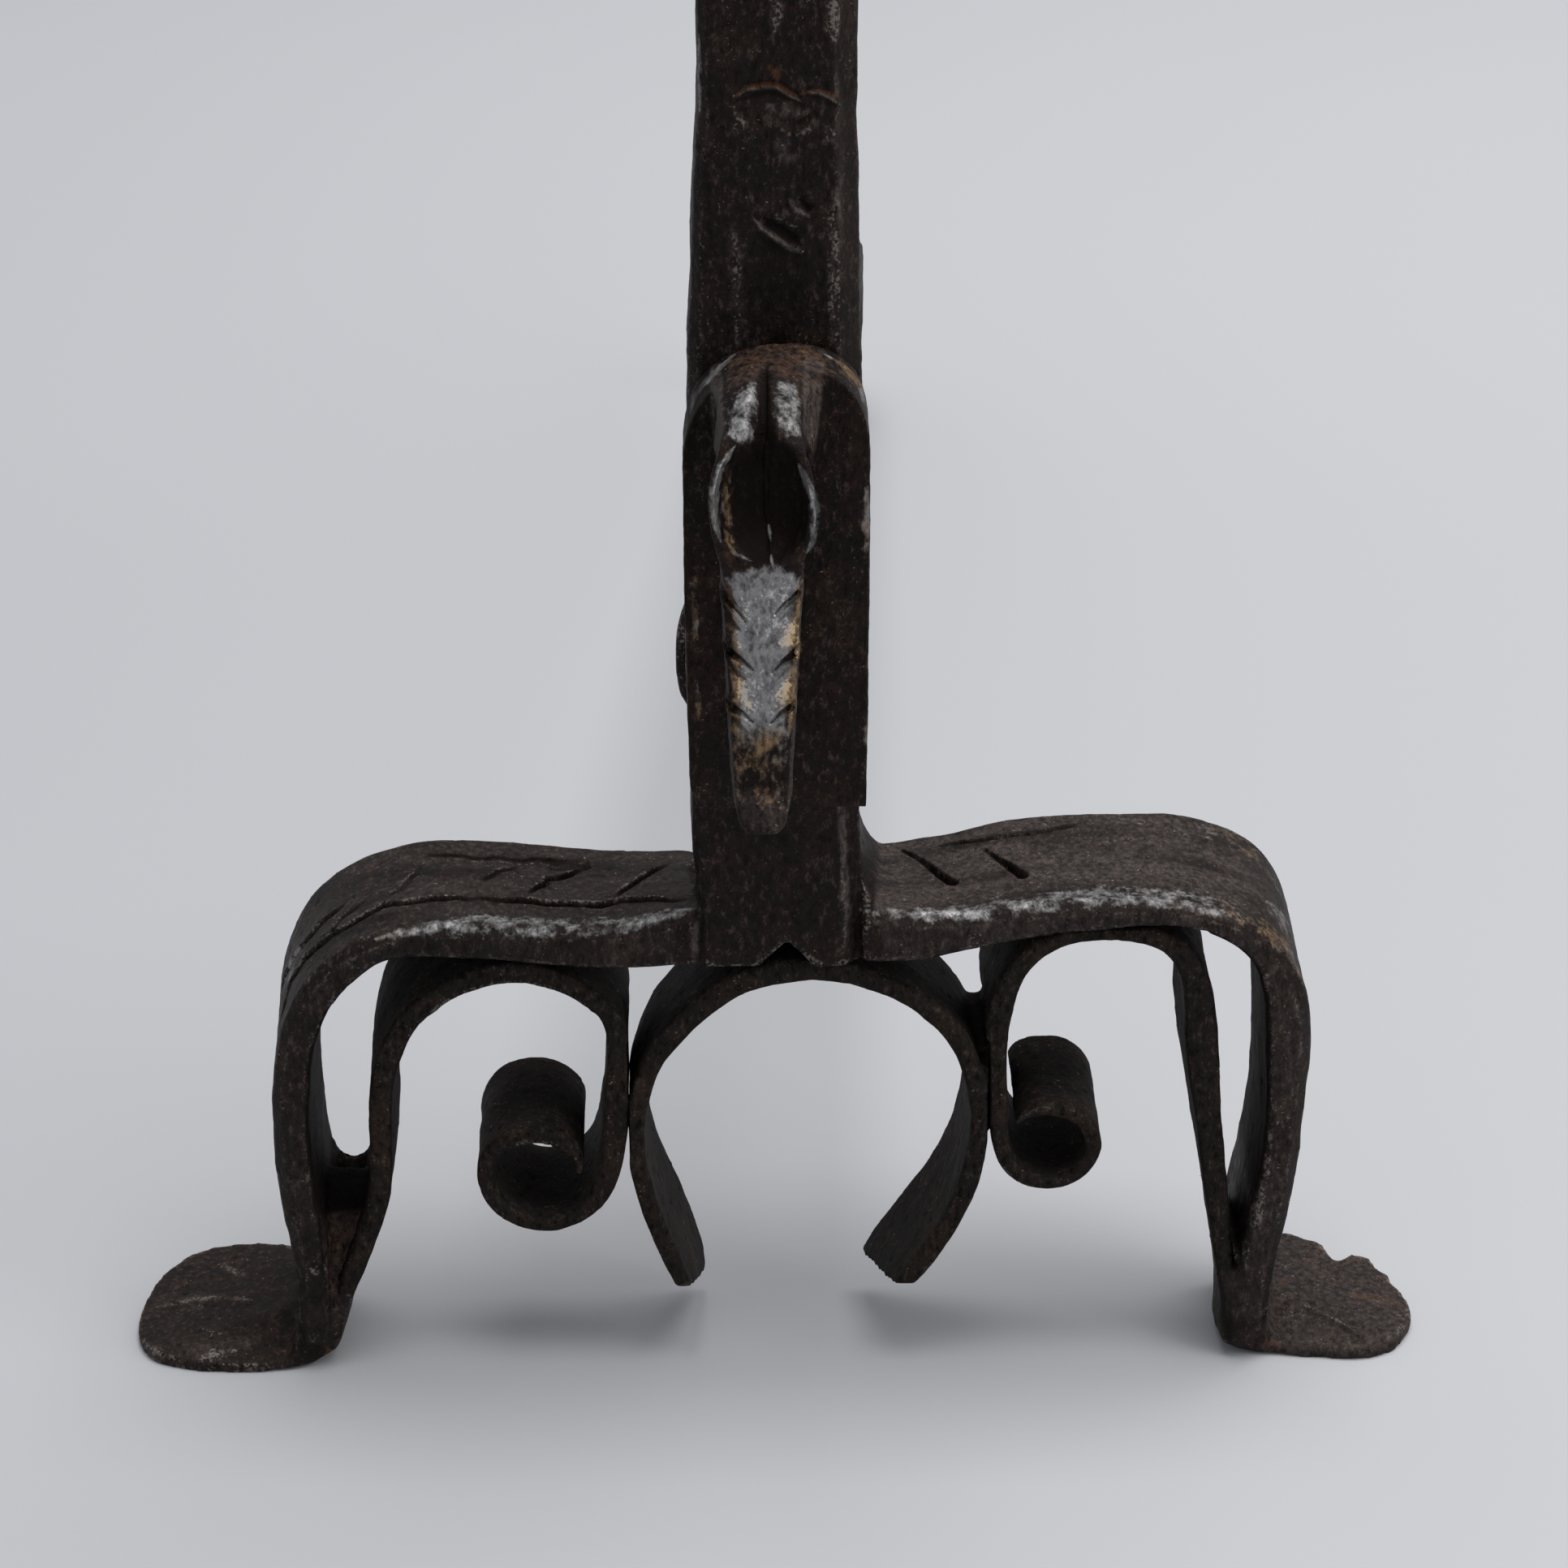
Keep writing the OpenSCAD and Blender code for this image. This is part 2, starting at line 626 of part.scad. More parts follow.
// Two rivets through plate, upright and palm, headed at both ends.
module rivets() {
    color(iron_light)
    at_rivets() {
        translate([0, upright_back + palm_t, 0])
            rotate([90, 0, 0])
                cylinder(d = rivet_d, h = plate_t + upright_d + palm_t);
        translate([0, plate_front, 0])
            rotate([90, 0, 0])
                rivet_head();
        translate([0, upright_back + palm_t, 0])
            rotate([-90, 0, 0])
                rivet_head();
    }
}

// Low domed head: a sphere cap of the head's diameter and height.
module rivet_head() {
    r = (head_d * head_d / 4 + head_h * head_h) / (2 * head_h);
    intersection() {
        translate([0, 0, head_h - r])
            sphere(r = r, $fn = 32);
        cylinder(d = head_d + 2, h = head_h + 1);
    }
}

upright();
left_leg();
right_leg();
left_foot();
right_foot();
left_scroll();
right_scroll();
centre_arch();
spit_hook();
log_bar();
rivets();
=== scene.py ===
import bpy, bmesh, math
import numpy as np
from mathutils import Matrix, Vector
from mathutils.bvhtree import BVHTree
from mathutils.kdtree import KDTree


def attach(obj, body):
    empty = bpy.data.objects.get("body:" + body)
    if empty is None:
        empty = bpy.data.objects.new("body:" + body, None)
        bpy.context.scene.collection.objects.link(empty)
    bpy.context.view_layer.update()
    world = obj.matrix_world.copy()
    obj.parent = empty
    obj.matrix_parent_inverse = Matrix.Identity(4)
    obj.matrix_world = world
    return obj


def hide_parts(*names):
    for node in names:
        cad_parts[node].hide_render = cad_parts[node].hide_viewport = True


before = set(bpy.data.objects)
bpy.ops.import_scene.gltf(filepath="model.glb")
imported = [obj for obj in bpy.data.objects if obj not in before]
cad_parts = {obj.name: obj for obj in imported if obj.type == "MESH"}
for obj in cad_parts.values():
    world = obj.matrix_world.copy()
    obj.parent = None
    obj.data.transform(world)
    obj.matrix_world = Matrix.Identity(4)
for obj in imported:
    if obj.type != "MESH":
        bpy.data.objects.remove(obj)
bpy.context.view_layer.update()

# ---- camera ----------------------------------------------------------------
# The photograph's frame is 1932 x 1932. Focal length 6000 of its pixels, 27
# degrees down, turned 1.1 degrees to the right.
SIDE, FOCAL = 1932, 6000.0
TILT, TURN = math.radians(27.0), math.radians(1.1)
SENSOR = 36.0
EYE = Vector((-0.0178, -1.0089, 0.6628))
AHEAD = Vector((math.sin(TURN) * math.cos(TILT), math.cos(TURN) * math.cos(TILT), -math.sin(TILT)))
RIGHT = Vector((math.cos(TURN), -math.sin(TURN), 0.0))
UP = RIGHT.cross(AHEAD)


def make_camera():
    data = bpy.data.cameras.new("view")
    data.sensor_width = SENSOR
    data.lens = FOCAL / SIDE * SENSOR
    data.clip_start, data.clip_end = 0.01, 50.0
    ob = bpy.data.objects.new("view", data)
    m = Matrix((RIGHT, UP, -AHEAD)).transposed().to_4x4()
    m.translation = EYE
    ob.matrix_world = m
    bpy.context.scene.collection.objects.link(ob)
    bpy.context.scene.camera = ob


def pixel_ray(x, y):
    d = AHEAD * FOCAL + RIGHT * (x - SIDE / 2) + UP * (SIDE / 2 - y)
    return EYE, d.normalized()


def pixels_of(p):
    """Photograph pixels, two columns, of points in millimetres."""
    v = p / 1000 - np.array(EYE)
    depth = v @ np.array(AHEAD)
    return np.stack([SIDE / 2 + FOCAL * (v @ np.array(RIGHT)) / depth,
                     SIDE / 2 - FOCAL * (v @ np.array(UP)) / depth], 1)


def to_segments(q, line):
    """Distance of the points q from a polyline, and how far along it they are, from 0 to 1."""
    a, b = np.array(line[:-1], float), np.array(line[1:], float)
    length = np.sqrt(((b - a) ** 2).sum(1))
    start = np.concatenate([[0], np.cumsum(length)])
    best, along = np.full(len(q), 1e9), np.zeros(len(q))
    for k in range(len(a)):
        t = np.clip(((q - a[k]) @ (b[k] - a[k])) / length[k] ** 2, 0, 1)
        d = np.sqrt(((q - a[k] - t[:, None] * (b[k] - a[k])) ** 2).sum(1))
        closer = d < best
        best = np.where(closer, d, best)
        along = np.where(closer, (start[k] + t * length[k]) / start[-1], along)
    return best, along


def in_outline(q, outline, soft):
    """1 inside a closed outline of pixels, 0 outside, with an edge soft pixels wide."""
    o = np.array(outline, float)
    inside = np.zeros(len(q), bool)
    for a, b in zip(o, np.roll(o, -1, 0)):
        crosses = (a[1] > q[:, 1]) != (b[1] > q[:, 1])
        x = a[0] + (q[:, 1] - a[1]) * (b[0] - a[0]) / (b[1] - a[1] if b[1] != a[1] else 1e-9)
        inside ^= crosses & (q[:, 0] < x)
    d, _ = to_segments(q, list(outline) + [outline[0]])
    return step(-soft, soft, np.where(inside, d, -d))


# ---- noise over points, in millimetres ------------------------------------

def lattice(i, seed):
    """A repeatable number from 0 to 1 for each whole-numbered point."""
    x, y, z = (i[:, k].astype(np.int64) for k in range(3))
    h = (x * 374761393 + y * 668265263 + z * 1440662683 + seed * 362437) & 0xFFFFFFFF
    h = ((h ^ (h >> 13)) * 1274126177) & 0xFFFFFFFF
    h = ((h ^ (h >> 15)) * 2246822519) & 0xFFFFFFFF
    return ((h ^ (h >> 16)) & 0xFFFFFF) / float(0xFFFFFF)


def noise(p, size, seed=0):
    """Smooth value noise from -1 to 1. size may be one number or three."""
    q = p / np.asarray(size, float)
    i = np.floor(q)
    f = q - i
    u = f * f * f * (f * (f * 6 - 15) + 10)
    out = np.zeros(len(p))
    for dx in (0, 1):
        for dy in (0, 1):
            for dz in (0, 1):
                w = ((u[:, 0] if dx else 1 - u[:, 0]) * (u[:, 1] if dy else 1 - u[:, 1])
                     * (u[:, 2] if dz else 1 - u[:, 2]))
                out += w * lattice(i + (dx, dy, dz), seed)
    return out * 2 - 1


def octaves(p, size, seed, n=3):
    """Noise from -1 to 1 in n octaves, each half the size and strength of the one before."""
    size = np.asarray(size, float)
    return sum(noise(p, size / 2 ** k, seed + 7 * k) / 2 ** k for k in range(n)) / (2 - 2 ** (1 - n))


def cells(p, size, seed=0):
    """Distance to the nearest scattered point, in cells, and that point's own number from 0 to 1."""
    q = p / np.asarray(size, float)
    i = np.floor(q)
    near, mark = np.full(len(p), 9.0), np.zeros(len(p))
    for dx in (-1, 0, 1):
        for dy in (-1, 0, 1):
            for dz in (-1, 0, 1):
                c = i + (dx, dy, dz)
                j = np.stack([lattice(c, seed + k) for k in (11, 23, 37)], 1)
                d = np.sqrt(((c + j - q) ** 2).sum(1))
                closer = d < near
                mark = np.where(closer, lattice(c, seed + 51), mark)
                near = np.where(closer, d, near)
    return near, mark


def step(lo, hi, x):
    """Goes smoothly from 0 at lo to 1 at hi, which may be below lo."""
    t = np.clip((x - lo) / (hi - lo), 0, 1)
    return t * t * (3 - 2 * t)


# ---- meshes ----------------------------------------------------------------

def read_points(me):
    co = np.zeros(len(me.vertices) * 3, np.float32)
    me.vertices.foreach_get("co", co)
    return co.reshape(-1, 3).astype(float) * 1000


def write_points(me, p):
    me.vertices.foreach_set("co", (p / 1000).astype(np.float32).ravel())
    me.update()


def normals_of(me):
    n = np.zeros(len(me.vertices) * 3, np.float32)
    me.vertices.foreach_get("normal", n)
    return n.reshape(-1, 3).astype(float)


def edges_of(me):
    e = np.zeros(len(me.edges) * 2, np.int32)
    me.edges.foreach_get("vertices", e)
    return e.reshape(-1, 2)


def relax(p, e, rounds, factor=0.5, keep=None):
    """Laplacian smoothing. keep, from 0 to 1, holds points back."""
    count = np.bincount(e.ravel(), minlength=len(p)).astype(float)[:, None]
    for _ in range(rounds):
        s = np.zeros_like(p)
        for k in range(3):
            s[:, k] = (np.bincount(e[:, 0], weights=p[e[:, 1], k], minlength=len(p))
                       + np.bincount(e[:, 1], weights=p[e[:, 0], k], minlength=len(p)))
        move = (s / np.maximum(count, 1) - p) * factor
        if keep is not None:
            move *= (1 - keep)[:, None]
        p = p + move
    return p


def cut_copy(node, planes):
    """A closed mesh of the part of a node behind every plane, (point, direction) in millimetres."""
    part = bmesh.new()
    part.from_mesh(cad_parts[node].data)
    for point, direction in planes:
        geom = part.verts[:] + part.edges[:] + part.faces[:]
        cut = bmesh.ops.bisect_plane(part, geom=geom, plane_co=Vector(point) / 1000, plane_no=direction,
                                     clear_outer=True)
        rim = [e for e in cut["geom_cut"] if isinstance(e, bmesh.types.BMEdge)]
        bmesh.ops.holes_fill(part, edges=rim)
    me = bpy.data.meshes.new("cut")
    part.to_mesh(me)
    part.free()
    return me


def remeshed(name, nodes, voxel, extra=(), plugs=()):
    """One skin over copies of the CAD nodes' meshes, of the extra cut copies and of the plugs, each
    the corners of a convex lump."""
    bm = bmesh.new()
    for corners in plugs:
        lump = [bm.verts.new(Vector(c) / 1000) for c in corners]
        bmesh.ops.convex_hull(bm, input=lump)
    for n in nodes:
        bm.from_mesh(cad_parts[n].data)
    for node, planes in extra:
        me = cut_copy(node, planes)
        bm.from_mesh(me)
        bpy.data.meshes.remove(me)
    me = bpy.data.meshes.new(name)
    bm.to_mesh(me)
    bm.free()
    ob = bpy.data.objects.new(name, me)
    bpy.context.scene.collection.objects.link(ob)
    mod = ob.modifiers.new("skin", "REMESH")
    mod.mode, mod.voxel_size, mod.adaptivity = "VOXEL", voxel / 1000, 0.0
    bpy.context.view_layer.update()
    done = bpy.data.meshes.new_from_object(ob.evaluated_get(bpy.context.evaluated_depsgraph_get()))
    ob.modifiers.clear()
    ob.data = done
    done.name = name
    bpy.data.meshes.remove(me)
    done.materials.clear()
    return ob


MARKS = ("wear", "cavity", "polish", "gold", "rust", "pale")


class Forging:
    """A skin being worked: points and normals in millimetres, with its marks."""

    def __init__(self, name, nodes, voxel, soften=3, extra=(), plugs=()):
        self.ob = remeshed(name, nodes, voxel, extra, plugs)
        self.me = self.ob.data
        self.nodes = nodes
        self.e = edges_of(self.me)
        p = read_points(self.me)
        self.set(relax(p, self.e, soften))
        self.unmarked()
        self.first_skin = None

    def set(self, p):
        write_points(self.me, p)
        self.p = read_points(self.me)
        self.n = normals_of(self.me)

    def unmarked(self):
        self.marks = {k: np.zeros(len(self.p)) for k in MARKS}

    def refine(self, lines, reach):
        """Halves the faces within reach of lines of photograph pixels, for marks finer than the
        skin. It clears the marks."""
        px = pixels_of(self.p)
        near = np.zeros(len(self.p), bool)
        for line in lines:
            near |= to_segments(px, line)[0] < reach
        near &= self.toward() > 0
        bm = bmesh.new()
        bm.from_mesh(self.me)
        edges = [e for e in bm.edges if near[e.verts[0].index] and near[e.verts[1].index]]
        bmesh.ops.subdivide_edges(bm, edges=edges, cuts=1, use_grid_fill=True)
        bmesh.ops.triangulate(bm, faces=[f for f in bm.faces if len(f.verts) > 4])
        bm.to_mesh(self.me)
        bm.free()
        self.e = edges_of(self.me)
        self.set(read_points(self.me))
        self.unmarked()

    def push(self, h):
        """Moves every point by h millimetres along its normal."""
        self.set(self.p + self.n * h[:, None])

    def drawn(self, line, spacing=3.0):
        """Points, in millimetres, under a line of photograph pixels, on the skin as it was when its
        first line was drawn."""
        if self.first_skin is None:
            bm = bmesh.new()
            bm.from_mesh(self.me)
            self.first_skin = BVHTree.FromBMesh(bm)
            bm.free()
        out = []
        for (x0, y0), (x1, y1) in zip(line, line[1:]):
            n = max(2, int(math.hypot(x1 - x0, y1 - y0) / spacing))
            for k in range(n + 1):
                eye, ray = pixel_ray(x0 + (x1 - x0) * k / n, y0 + (y1 - y0) * k / n)
                hit = self.first_skin.ray_cast(eye, ray)
                if hit[0] is not None:
                    out.append(tuple(hit[0] * 1000))
        return np.array(out)

    def near_line(self, line, wander, seed, limit):
        """Draws a line of photograph pixels on the skin and lets it wander. Gives the line's points
        and, for each point of the skin within limit: its index, the line's nearest point, that
        one's index and the distance."""
        pts = self.drawn(line)
        pts = pts + np.stack([noise(pts, 3.0, seed + k) for k in range(3)], 1) * wander
        kd = KDTree(len(pts))
        for i, q in enumerate(pts):
            kd.insert(q, i)
        kd.balance()
        lo, hi = pts.min(0) - limit - 1, pts.max(0) + limit + 1
        found = []
        for v in np.where(((self.p > lo) & (self.p < hi)).all(1))[0]:
            q, i, d = kd.find(self.p[v])
            if d <= limit:
                found.append((v, q, i, d))
        return pts, found

    def toward(self):
        """How far each point faces the camera's place, 0 to 1."""
        v = np.array(EYE) * 1000 - self.p
        v /= np.sqrt((v ** 2).sum(1))[:, None]
        return step(0.0, 0.25, (v * self.n).sum(1))

    def mark(self, name, values):
        """Raises a mark to the values where it is below them."""
        self.marks[name] = np.maximum(self.marks[name], values)

    def stroke(self, name, line, width, amount, soft=0.5):
        """Marks a band along a line of photograph pixels, thinning to its ends."""
        d, t = to_segments(pixels_of(self.p), line)
        w = width * np.sqrt(np.clip(4 * t * (1 - t), 0.03, 1))
        self.mark(name, amount * step(w * (1 + soft), w * (1 - soft), d) * self.toward())

    def strokes(self, *rows):
        """Several strokes, each a row of stroke's arguments."""
        for row in rows:
            self.stroke(*row)

    def area(self, name, outline, amount, soft=4.0):
        """Marks what lies inside an outline of photograph pixels."""
        self.mark(name, amount * self.inside(outline, soft))

    def inside(self, outline, soft):
        """1 for what the camera sees inside an outline of photograph pixels, 0 for the rest."""
        return in_outline(pixels_of(self.p), outline, soft) * self.toward()

    def groove(self, line, depth, width, wander=0.5, seed=0, lip=0.0, dark=0.7, wedge=False):
        """A crack or chisel mark along a line of photograph pixels; a wedge deepens to its end. A negative
        depth makes a ridge. dark sets the painted shade laid into it."""
        pts, found = self.near_line(line, wander, seed, 4 * width)
        h = np.zeros(len(self.p))
        for v, _, i, d in found:
            t = i / (len(pts) - 1)
            end = 0.35 + 0.65 * t if wedge else min(1.0, 6 * min(t, 1 - t) + 0.15)
            w = width * (0.5 + 0.5 * t if wedge else 1.0)
            h[v] += -depth * end * math.exp(-(d / w) ** 2)
            h[v] += lip * end * math.exp(-((d - 1.9 * w) / w) ** 2)
            self.marks["cavity"][v] = max(self.marks["cavity"][v], dark * end * math.exp(-(d / w) ** 2))
        self.push(h)

    def scarp(self, line, height, crack, reach, wander, seed, side=1):
        """A torn sheet of metal: its edge, along a line of photograph pixels, stands height above what lies
        on the other side, with a narrow crack at its foot. side 1 raises what is up the picture of a line
        drawn to the right. The raised edge gets a painted highlight and the crack at its foot gets painted
        shade."""
        pts, found = self.near_line(line, wander, seed, 3 * reach)
        index = np.arange(len(pts))
        run = pts[np.minimum(index + 4, len(pts) - 1)] - pts[np.maximum(index - 4, 0)]
        h = np.zeros(len(self.p))
        for v, q, i, d in found:
            t = i / (len(pts) - 1)
            end = min(1.0, 5 * min(t, 1 - t) + 0.05)
            away = self.p[v] - np.array(q)
            across = np.cross(self.n[v], run[i])
            s = side * float(away @ across) / (np.sqrt(across @ across) + 1e-9)
            h[v] += 0.62 * height * end * step(-0.3, 0.5, s) * math.exp(-(d / reach) ** 2)
            foot = end * math.exp(-((s + 0.45) / 0.55) ** 2)
            h[v] -= 1.25 * crack * foot * math.exp(-(d / 2.0) ** 2)
            shade = min(1.0, 2.0 * foot * math.exp(-(d / 1.6) ** 4))
            self.marks["cavity"][v] = max(self.marks["cavity"][v], shade)
            rim = end * math.exp(-((s - 0.8) / 0.5) ** 2) * math.exp(-(d / 1.8) ** 4)
            self.marks["wear"][v] = max(self.marks["wear"][v], 0.85 * rim)
        self.push(h)

    def soothe(self, where, rounds):
        """Smooths where the mask is high."""
        self.set(relax(self.p, self.e, rounds, 0.5, 1 - where))

    def hammer(self, size, depth, seed):
        """Overlapping hammer blows: shallow dishes with soft ridges between them."""
        near, mark = cells(self.p, size, seed)
        self.push((np.minimum(near, 1.0) ** 2 - 0.35) * depth * (0.5 + mark))

    def pits(self, size, depth, seed, share):
        """Round pits in a share of the cells, darkened with painted shade."""
        near, mark = cells(self.p, size, seed)
        self.marks["cavity"] += 0.5 * step(0.42, 0.1, near) * (mark < share)
        self.push(-depth * step(0.42, 0.05, near) * (mark < share))

    def finish(self, reach=10, gain=3.0):
        """Reads ridges and hollows off the worked skin and stores the marks: the ridges count as worn edges,
        the hollows as painted shade.
        """
        far = relax(self.p, self.e, reach)
        off = ((self.p - far) * self.n).sum(1)
        self.marks["wear"] = np.clip(self.marks["wear"] + np.clip(off * gain, 0, 1), 0, 1)
        self.marks["cavity"] = np.clip(self.marks["cavity"] + np.clip(-off * gain, 0, 1), 0, 1)
        grounded = self.p.copy()
        grounded[:, 2] = np.maximum(grounded[:, 2], 0.0)
        write_points(self.me, grounded)
        for name, values in self.marks.items():
            a = self.me.attributes.new(name, "FLOAT", "POINT")
            a.data.foreach_set("value", np.clip(values, 0, 1).astype(np.float32))
        self.me.polygons.foreach_set("use_smooth", [True] * len(self.me.polygons))
        self.me.update()


# ---- materials -------------------------------------------------------------

class Nodes:
    """Short forms for building a material's node tree."""

    def __init__(self, name):
        self.mat = bpy.data.materials.new(name)
        self.mat.use_nodes = True
        self.tree = self.mat.node_tree
        self.tree.nodes.clear()
        self.coord = self.tree.nodes.new("ShaderNodeTexCoord").outputs["Object"]

    def link(self, a, b):
        if hasattr(a, "is_output"):
            self.tree.links.new(a, b)
        else:
            b.default_value = a

    def noise(self, scale, detail=4, rough=0.6, vector=None):
        n = self.tree.nodes.new("ShaderNodeTexNoise")
        n.inputs["Scale"].default_value = scale
        n.inputs["Detail"].default_value = detail
        n.inputs["Roughness"].default_value = rough
        self.tree.links.new(vector or self.coord, n.inputs["Vector"])
        return n.outputs["Fac"]

    def stretched(self, x, y, z):
        n = self.tree.nodes.new("ShaderNodeMapping")
        n.inputs["Scale"].default_value = (x, y, z)
        self.tree.links.new(self.coord, n.inputs["Vector"])
        return n.outputs["Vector"]

    def mark(self, name):
        n = self.tree.nodes.new("ShaderNodeAttribute")
        n.attribute_name = name
        return n.outputs["Fac"]

    def math(self, op, a, b=0.0, clamp=False):
        n = self.tree.nodes.new("ShaderNodeMath")
        n.operation = op
        n.use_clamp = clamp
        self.link(a, n.inputs[0])
        self.link(b, n.inputs[1])
        return n.outputs[0]

    def span(self, x, a, b, lo=0.0, hi=1.0):
        n = self.tree.nodes.new("ShaderNodeMapRange")
        n.interpolation_type = "SMOOTHSTEP"
        self.link(x, n.inputs["Value"])
        for key, v in (("From Min", a), ("From Max", b), ("To Min", lo), ("To Max", hi)):
            n.inputs[key].default_value = v
        return n.outputs["Result"]

    def mix(self, t, a, b):
        n = self.tree.nodes.new("ShaderNodeMix")
        n.data_type = "RGBA"
        self.link(t, n.inputs["Factor"])
        for v, s in ((a, n.inputs[6]), (b, n.inputs[7])):
            self.link(v if hasattr(v, "is_output") else (*v, 1.0), s)
        return n.outputs[2]

    def lerp(self, t, a, b):
        n = self.tree.nodes.new("ShaderNodeMix")
        n.data_type = "FLOAT"
        self.link(t, n.inputs["Factor"])
        self.link(a, n.inputs[2])
        self.link(b, n.inputs[3])
        return n.outputs[0]

    def shader(self, color, rough, metal, bump, distance, strength, specular=0.5, tint=(1.0, 1.0, 1.0)):
        b = self.tree.nodes.new("ShaderNodeBsdfPrincipled")
        out = self.tree.nodes.new("ShaderNodeOutputMaterial")
        self.link(color, b.inputs["Base Color"])
        self.link(rough, b.inputs["Roughness"])
        self.link(metal, b.inputs["Metallic"])
        b.inputs["Specular IOR Level"].default_value = specular
        b.inputs["Specular Tint"].default_value = (*tint, 1.0)
        n = self.tree.nodes.new("ShaderNodeBump")
        n.inputs["Strength"].default_value = strength
        n.inputs["Distance"].default_value = distance
        self.tree.links.new(bump, n.inputs["Height"])
        self.tree.links.new(n.outputs["Normal"], b.inputs["Normal"])
        self.tree.links.new(b.outputs["BSDF"], out.inputs["Surface"])
        return self.mat


# the iron's colours, linear
GREY_SPECKS = (0.056, 0.041, 0.036)
RED_SPECKS = (0.066, 0.023, 0.015)
BLACK_SPECKS = (0.0016, 0.0012, 0.0011)
CREVICE_SHADE = (0.0028, 0.0018, 0.0014)
RUST = (0.100, 0.042, 0.020)
ASH_AND_PAINTED_LIGHT = (0.120, 0.098, 0.090)
BARE_AND_HIGHLIGHT = (0.24, 0.215, 0.195)
# rubbed bright and painted highlights: dull, clear and sparking, the sparking tone a painted glint
STEEL = (0.190, 0.190, 0.196), (0.310, 0.308, 0.304), (0.56, 0.55, 0.53)
BRONZE = (0.100, 0.062, 0.037), (0.250, 0.170, 0.100), (0.66, 0.49, 0.29)
WAX_TINT = (1.0, 0.86, 0.80)


def iron(name, dark, brown, grain=1.0, specular=0.12, roughness=(0.42, 0.64)):
    """Waxed forge scale, near-black with brown blooms and grey specks, bright where it is rubbed and where
    highlights are painted, near-black where shade is painted. grain below 1 draws the mottling out along Z."""
    g = Nodes(name)
    wear, cavity, polish, gold, rust, pale = (g.mark(k) for k in MARKS)
    drawn = g.stretched(1, 1, grain)
    broad = g.noise(48, 4, 0.62)
    patch = g.noise(230, 5, 0.68, drawn)
    fine = g.noise(700, 4, 0.7, drawn)
    grit = g.noise(2300, 2, 0.6)
    specks = g.noise(1250, 2, 0.55)

    def part(x, amount):
        return g.math("MULTIPLY", x, amount)

    def both(a, b):
        return g.math("ADD", a, b)

    def off_middle(x, amount):
        return part(g.math("SUBTRACT", x, 0.5), amount)

    # scale: dark ground, brown blooms, specks of grey, of red and of black
    color = g.mix(g.span(both(part(broad, 0.5), part(patch, 0.5)), 0.47, 0.64), dark, brown)
    color = g.mix(part(g.span(fine, 0.53, 0.70), 0.85), color, GREY_SPECKS)
    color = g.mix(part(g.span(specks, 0.38, 0.30), 0.42), color, RED_SPECKS)
    color = g.mix(part(g.span(fine, 0.47, 0.34), 0.9), color, BLACK_SPECKS)
    # painted shade: hollows, cracks, pits and marked faces go towards near-black
    color = g.mix(g.math("MULTIPLY", cavity, 0.85, True), color, CREVICE_SHADE)
    # rust, and ash that in places also paints light and sheen, where the marks ask for them
    uneven = both(part(patch, 0.5), part(fine, 0.5))
    rusty = g.math("MULTIPLY", rust, g.span(both(uneven, part(rust, 0.16)), 0.47, 0.64), True)
    color = g.mix(rusty, color, RUST)
    ash_and_painted_light = g.math("MULTIPLY", pale, g.span(fine, 0.34, 0.66, 0.2, 1.0), True)
    color = g.mix(ash_and_painted_light, color, ASH_AND_PAINTED_LIGHT)
    # worn edges and painted highlights, and flecks, broken up by the mottling
    dots = both(part(patch, 0.5), part(specks, 0.5))
    worn = g.math("MULTIPLY", g.span(wear, 0.30, 0.95), g.span(dots, 0.49, 0.60), True)
    crowd = part(pale, 0.07)
    flecks = g.math("MULTIPLY", g.span(both(specks, crowd), 0.63, 0.71),
                    g.span(both(patch, crowd), 0.52, 0.64), True)
    bare_and_highlight = g.math("MULTIPLY", g.math("MAXIMUM", part(worn, 0.7), part(flecks, 0.75)),
                  g.math("SUBTRACT", 1.0, cavity, True))
    color = g.mix(bare_and_highlight, color, BARE_AND_HIGHLIGHT)
    # rubbed bright, and painted highlights and reflections: grey steel with sparks, or bronze, broken by
    # pits; the sparks are painted glints
    break_up = both(off_middle(patch, 1.3), off_middle(fine, 1.1))
    rubbed = g.span(both(polish, break_up), 0.15, 0.80)
    rubbed = g.math("MULTIPLY", rubbed, g.span(polish, 0.02, 0.25), True)
    spark = both(part(patch, 0.40), both(part(specks, 0.36), part(grit, 0.24)))
    spark = g.span(both(spark, part(g.math("SUBTRACT", polish, 0.85), 0.42)), 0.48, 0.60)
    clearer = g.span(fine, 0.36, 0.64)
    steel, bronze = (g.mix(spark, g.mix(clearer, dull, clear), sparking)
                     for dull, clear, sparking in (STEEL, BRONZE))
    tone = g.mix(g.span(both(gold, off_middle(patch, 1.6)), 0.35, 0.95), steel, bronze)
    rubbed = g.math("MULTIPLY", rubbed, g.span(cavity, 0.35, 0.95, 1.0, 0.12), True)
    color = g.mix(rubbed, color, tone)
    shown = g.math("MAXIMUM", bare_and_highlight, rubbed)
    rough = g.lerp(g.span(fine, 0.3, 0.7), *roughness)
    rough = g.lerp(g.math("MULTIPLY", cavity, 0.6, True), rough, 0.80)
    rough = g.lerp(shown, rough, g.lerp(spark, 0.52, 0.34))
    bump = both(part(patch, 0.5), both(part(fine, 0.38), part(grit, 0.12)))
    bump = g.math("MULTIPLY", bump, g.lerp(rubbed, 1.0, 0.45))
    return g.shader(color, rough, g.math("MULTIPLY", shown, 0.9, True), bump, 0.0013, 0.8, specular, WAX_TINT)


# ---- the pieces ------------------------------------------------------------

